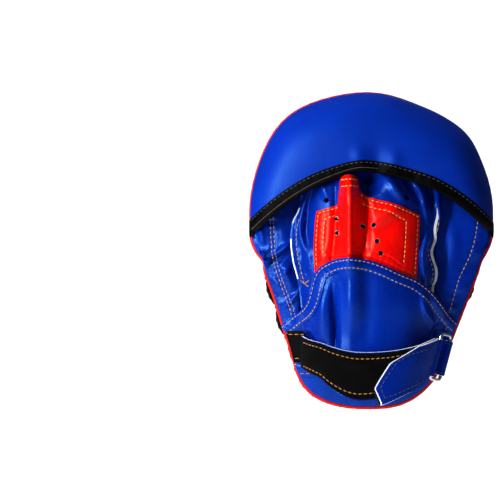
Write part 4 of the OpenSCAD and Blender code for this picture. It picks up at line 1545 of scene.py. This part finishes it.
def ring_keeper():
    """The cloth loop that holds the ring's outer bar to the pad's rim."""
    phi = np.radians(np.linspace(200, 370, 30))[4:-2:3]
    mid = spline([(-4.2, 4.0), (-3.4, 2.2), (-2.7, 0.6)]
                 + list(zip(2.4 * np.cos(phi), 2.4 * np.sin(phi)))
                 + [(2.3, 2.4), (1.4, 4.0), (-0.6, 4.7), (-3.4, 5.0)], 0.35)
    n = np.gradient(mid, axis=0)
    n = np.stack([n[:, 1], -n[:, 0]], 1) / np.hypot(*n.T)[:, None]
    tilt = math.radians(RING_TILT)
    mid = mid + BAR_REACH * np.array([math.cos(tilt), math.sin(tilt)])

    def along_bar(off, z):
        line = mid + n * off
        return at_ring(np.stack(np.broadcast_arrays(line[:, :1], line[:, 1:], z), -1))

    z = np.linspace(-15, 15, 30)[None]
    declare(sheet("ring_loop", along_bar(0.72, z * 0.99), along_bar(-0.72, z * 1.01), [BLUE, CUT]),
            "ring_keeper")
    solids = [stitch_row(lambda off: along_bar(off, level)[8:-8, 0], 0.72, LOOP_THREAD)
              for level in (12.8, -12.8)]
    many("ring_loop_stitches", sum(solids, []), [GREY])


# ---- Everything ----

pad_cover()
target_print()
rim_tube("front_piping", "edge_piping", 0, 37, 1.7, 1, 60, 0.04)
rim_tube("rear_piping", "rear_binding", 0.4, 7.9, 1.4, 0, 80, 0.045)
edge_binding()
side_gusset()
gusset_lace()
foams()
back_panel()
finger_hood()
hood_binding()
glove_back()
knuckle_patch()
wrist_cover()
wrist_hem()
side_panel(-1, "side_panel_left", 62, LEFT_SEAM, LEFT_FOLDS, (-0.9, 1.9))
side_panel(1, "side_panel_right", 55, RIGHT_SEAM, RIGHT_FOLDS, (0.0,))
thumb_flap()
bar_tacks()
strap_band()
strap_tail()
flank_piece("strap_foot", "strap_anchor", BLACK_TAPE, -94, -67, 1.2, -56, 2.6,
            (-90.5, -70))
flank_piece("strap_foot_tab", "anchor_tab", BLUE, -106, -96, 1.5, -46, 0.3,
            (-103.5,))
ring_keeper()

ring = frame["nodes"]["strap_ring"]
ring.data.materials.clear()
ring.data.materials.append(STEEL)
for polygon in ring.data.polygons:
    polygon.use_smooth = True


# ---- Camera, lights and floor ----

# Metres: the width in view, the camera's distance, and the point it looks at
FRAME_W = 0.425
AWAY = 3.0
TARGET = Vector((-0.1033, 0, 0.0017))
SENSOR = 36.0
# Each light's place, size and power
LIGHTS = {"key": ((-0.76, -0.74, 0.27), (0.09, 0.9), 13.5),
          "side": ((-2.5, -0.7, 0.7), (0.9, 0.9), 22),
          "top": ((0, 0.3, 1.9), (1.6, 1.6), 14),
          "back": ((0.3, 2.6, 1.3), (1.4, 1.4), 46)}
# Millimetres: the floor's underside, radius and thickness
FLOOR_Z, FLOOR_R, FLOOR_T = -370, 800, 8


def placed(name, data, place, at):
    """A camera or light at a place, pointed at another with Z up."""
    thing = bpy.data.objects.new(name, data)
    bpy.context.collection.objects.link(thing)
    thing.location = place
    thing.rotation_euler = (thing.location - at).to_track_quat("Z", "Y").to_euler()
    return thing


def studio():
    lens = bpy.data.cameras.new("camera")
    lens.lens = SENSOR * AWAY / FRAME_W
    lens.sensor_width = SENSOR
    lens.clip_end = 20
    scene = bpy.context.scene
    scene.camera = placed("camera", lens, TARGET + Vector((0, -AWAY, 0)), TARGET)
    for name, (place, size, power) in LIGHTS.items():
        light = bpy.data.lights.new(name, "AREA")
        light.shape = "RECTANGLE"
        light.size, light.size_y = size
        light.energy = power
        placed(name, light, place, Vector((0, 0, 0))).visible_glossy = name == "key"
    scene.view_settings.view_transform = "Standard"
    scene.view_settings.look = "Medium High Contrast"


def backdrop():
    """White where the camera sees past the mitt, and a dim pale blue that lights it."""
    world = bpy.data.worlds.new("studio")
    world.use_nodes = True
    bpy.context.scene.world = world
    nodes, links = world.node_tree.nodes, world.node_tree.links
    both = nodes.new("ShaderNodeMixShader")
    links.new(nodes.new("ShaderNodeLightPath").outputs["Is Camera Ray"], both.inputs[0])
    for k, shade, colour, strength in (
            (1, nodes["Background"], (0.93, 0.96, 1, 1), 0.09),
            (2, nodes.new("ShaderNodeBackground"), (1, 1, 1, 1), 1.0)):
        shade.inputs["Color"].default_value = colour
        shade.inputs["Strength"].default_value = strength
        links.new(shade.outputs[0], both.inputs[k])
    links.new(both.outputs[0], nodes["World Output"].inputs["Surface"])


def pale_floor():
    turns = np.linspace(0, 2 * math.pi, 96, endpoint=False)
    disc = [np.stack([r * np.cos(turns), r * np.sin(turns), np.full(96, FLOOR_Z + up)], 1)
            for r, up in ((10, 0), (FLOOR_R - 10, 0), (FLOOR_R, FLOOR_T / 2),
                          (FLOOR_R - 10, FLOOR_T), (10, FLOOR_T))]
    pale = Look("floor", Roughness=0.9)
    pale.colour(pale.blend(pale.noise(200, 3), (0.90, 0.90, 0.90, 1), (0.94, 0.94, 0.94, 1)))
    rings("floor", disc, [pale.material], body=None)


studio()
backdrop()
pale_floor()
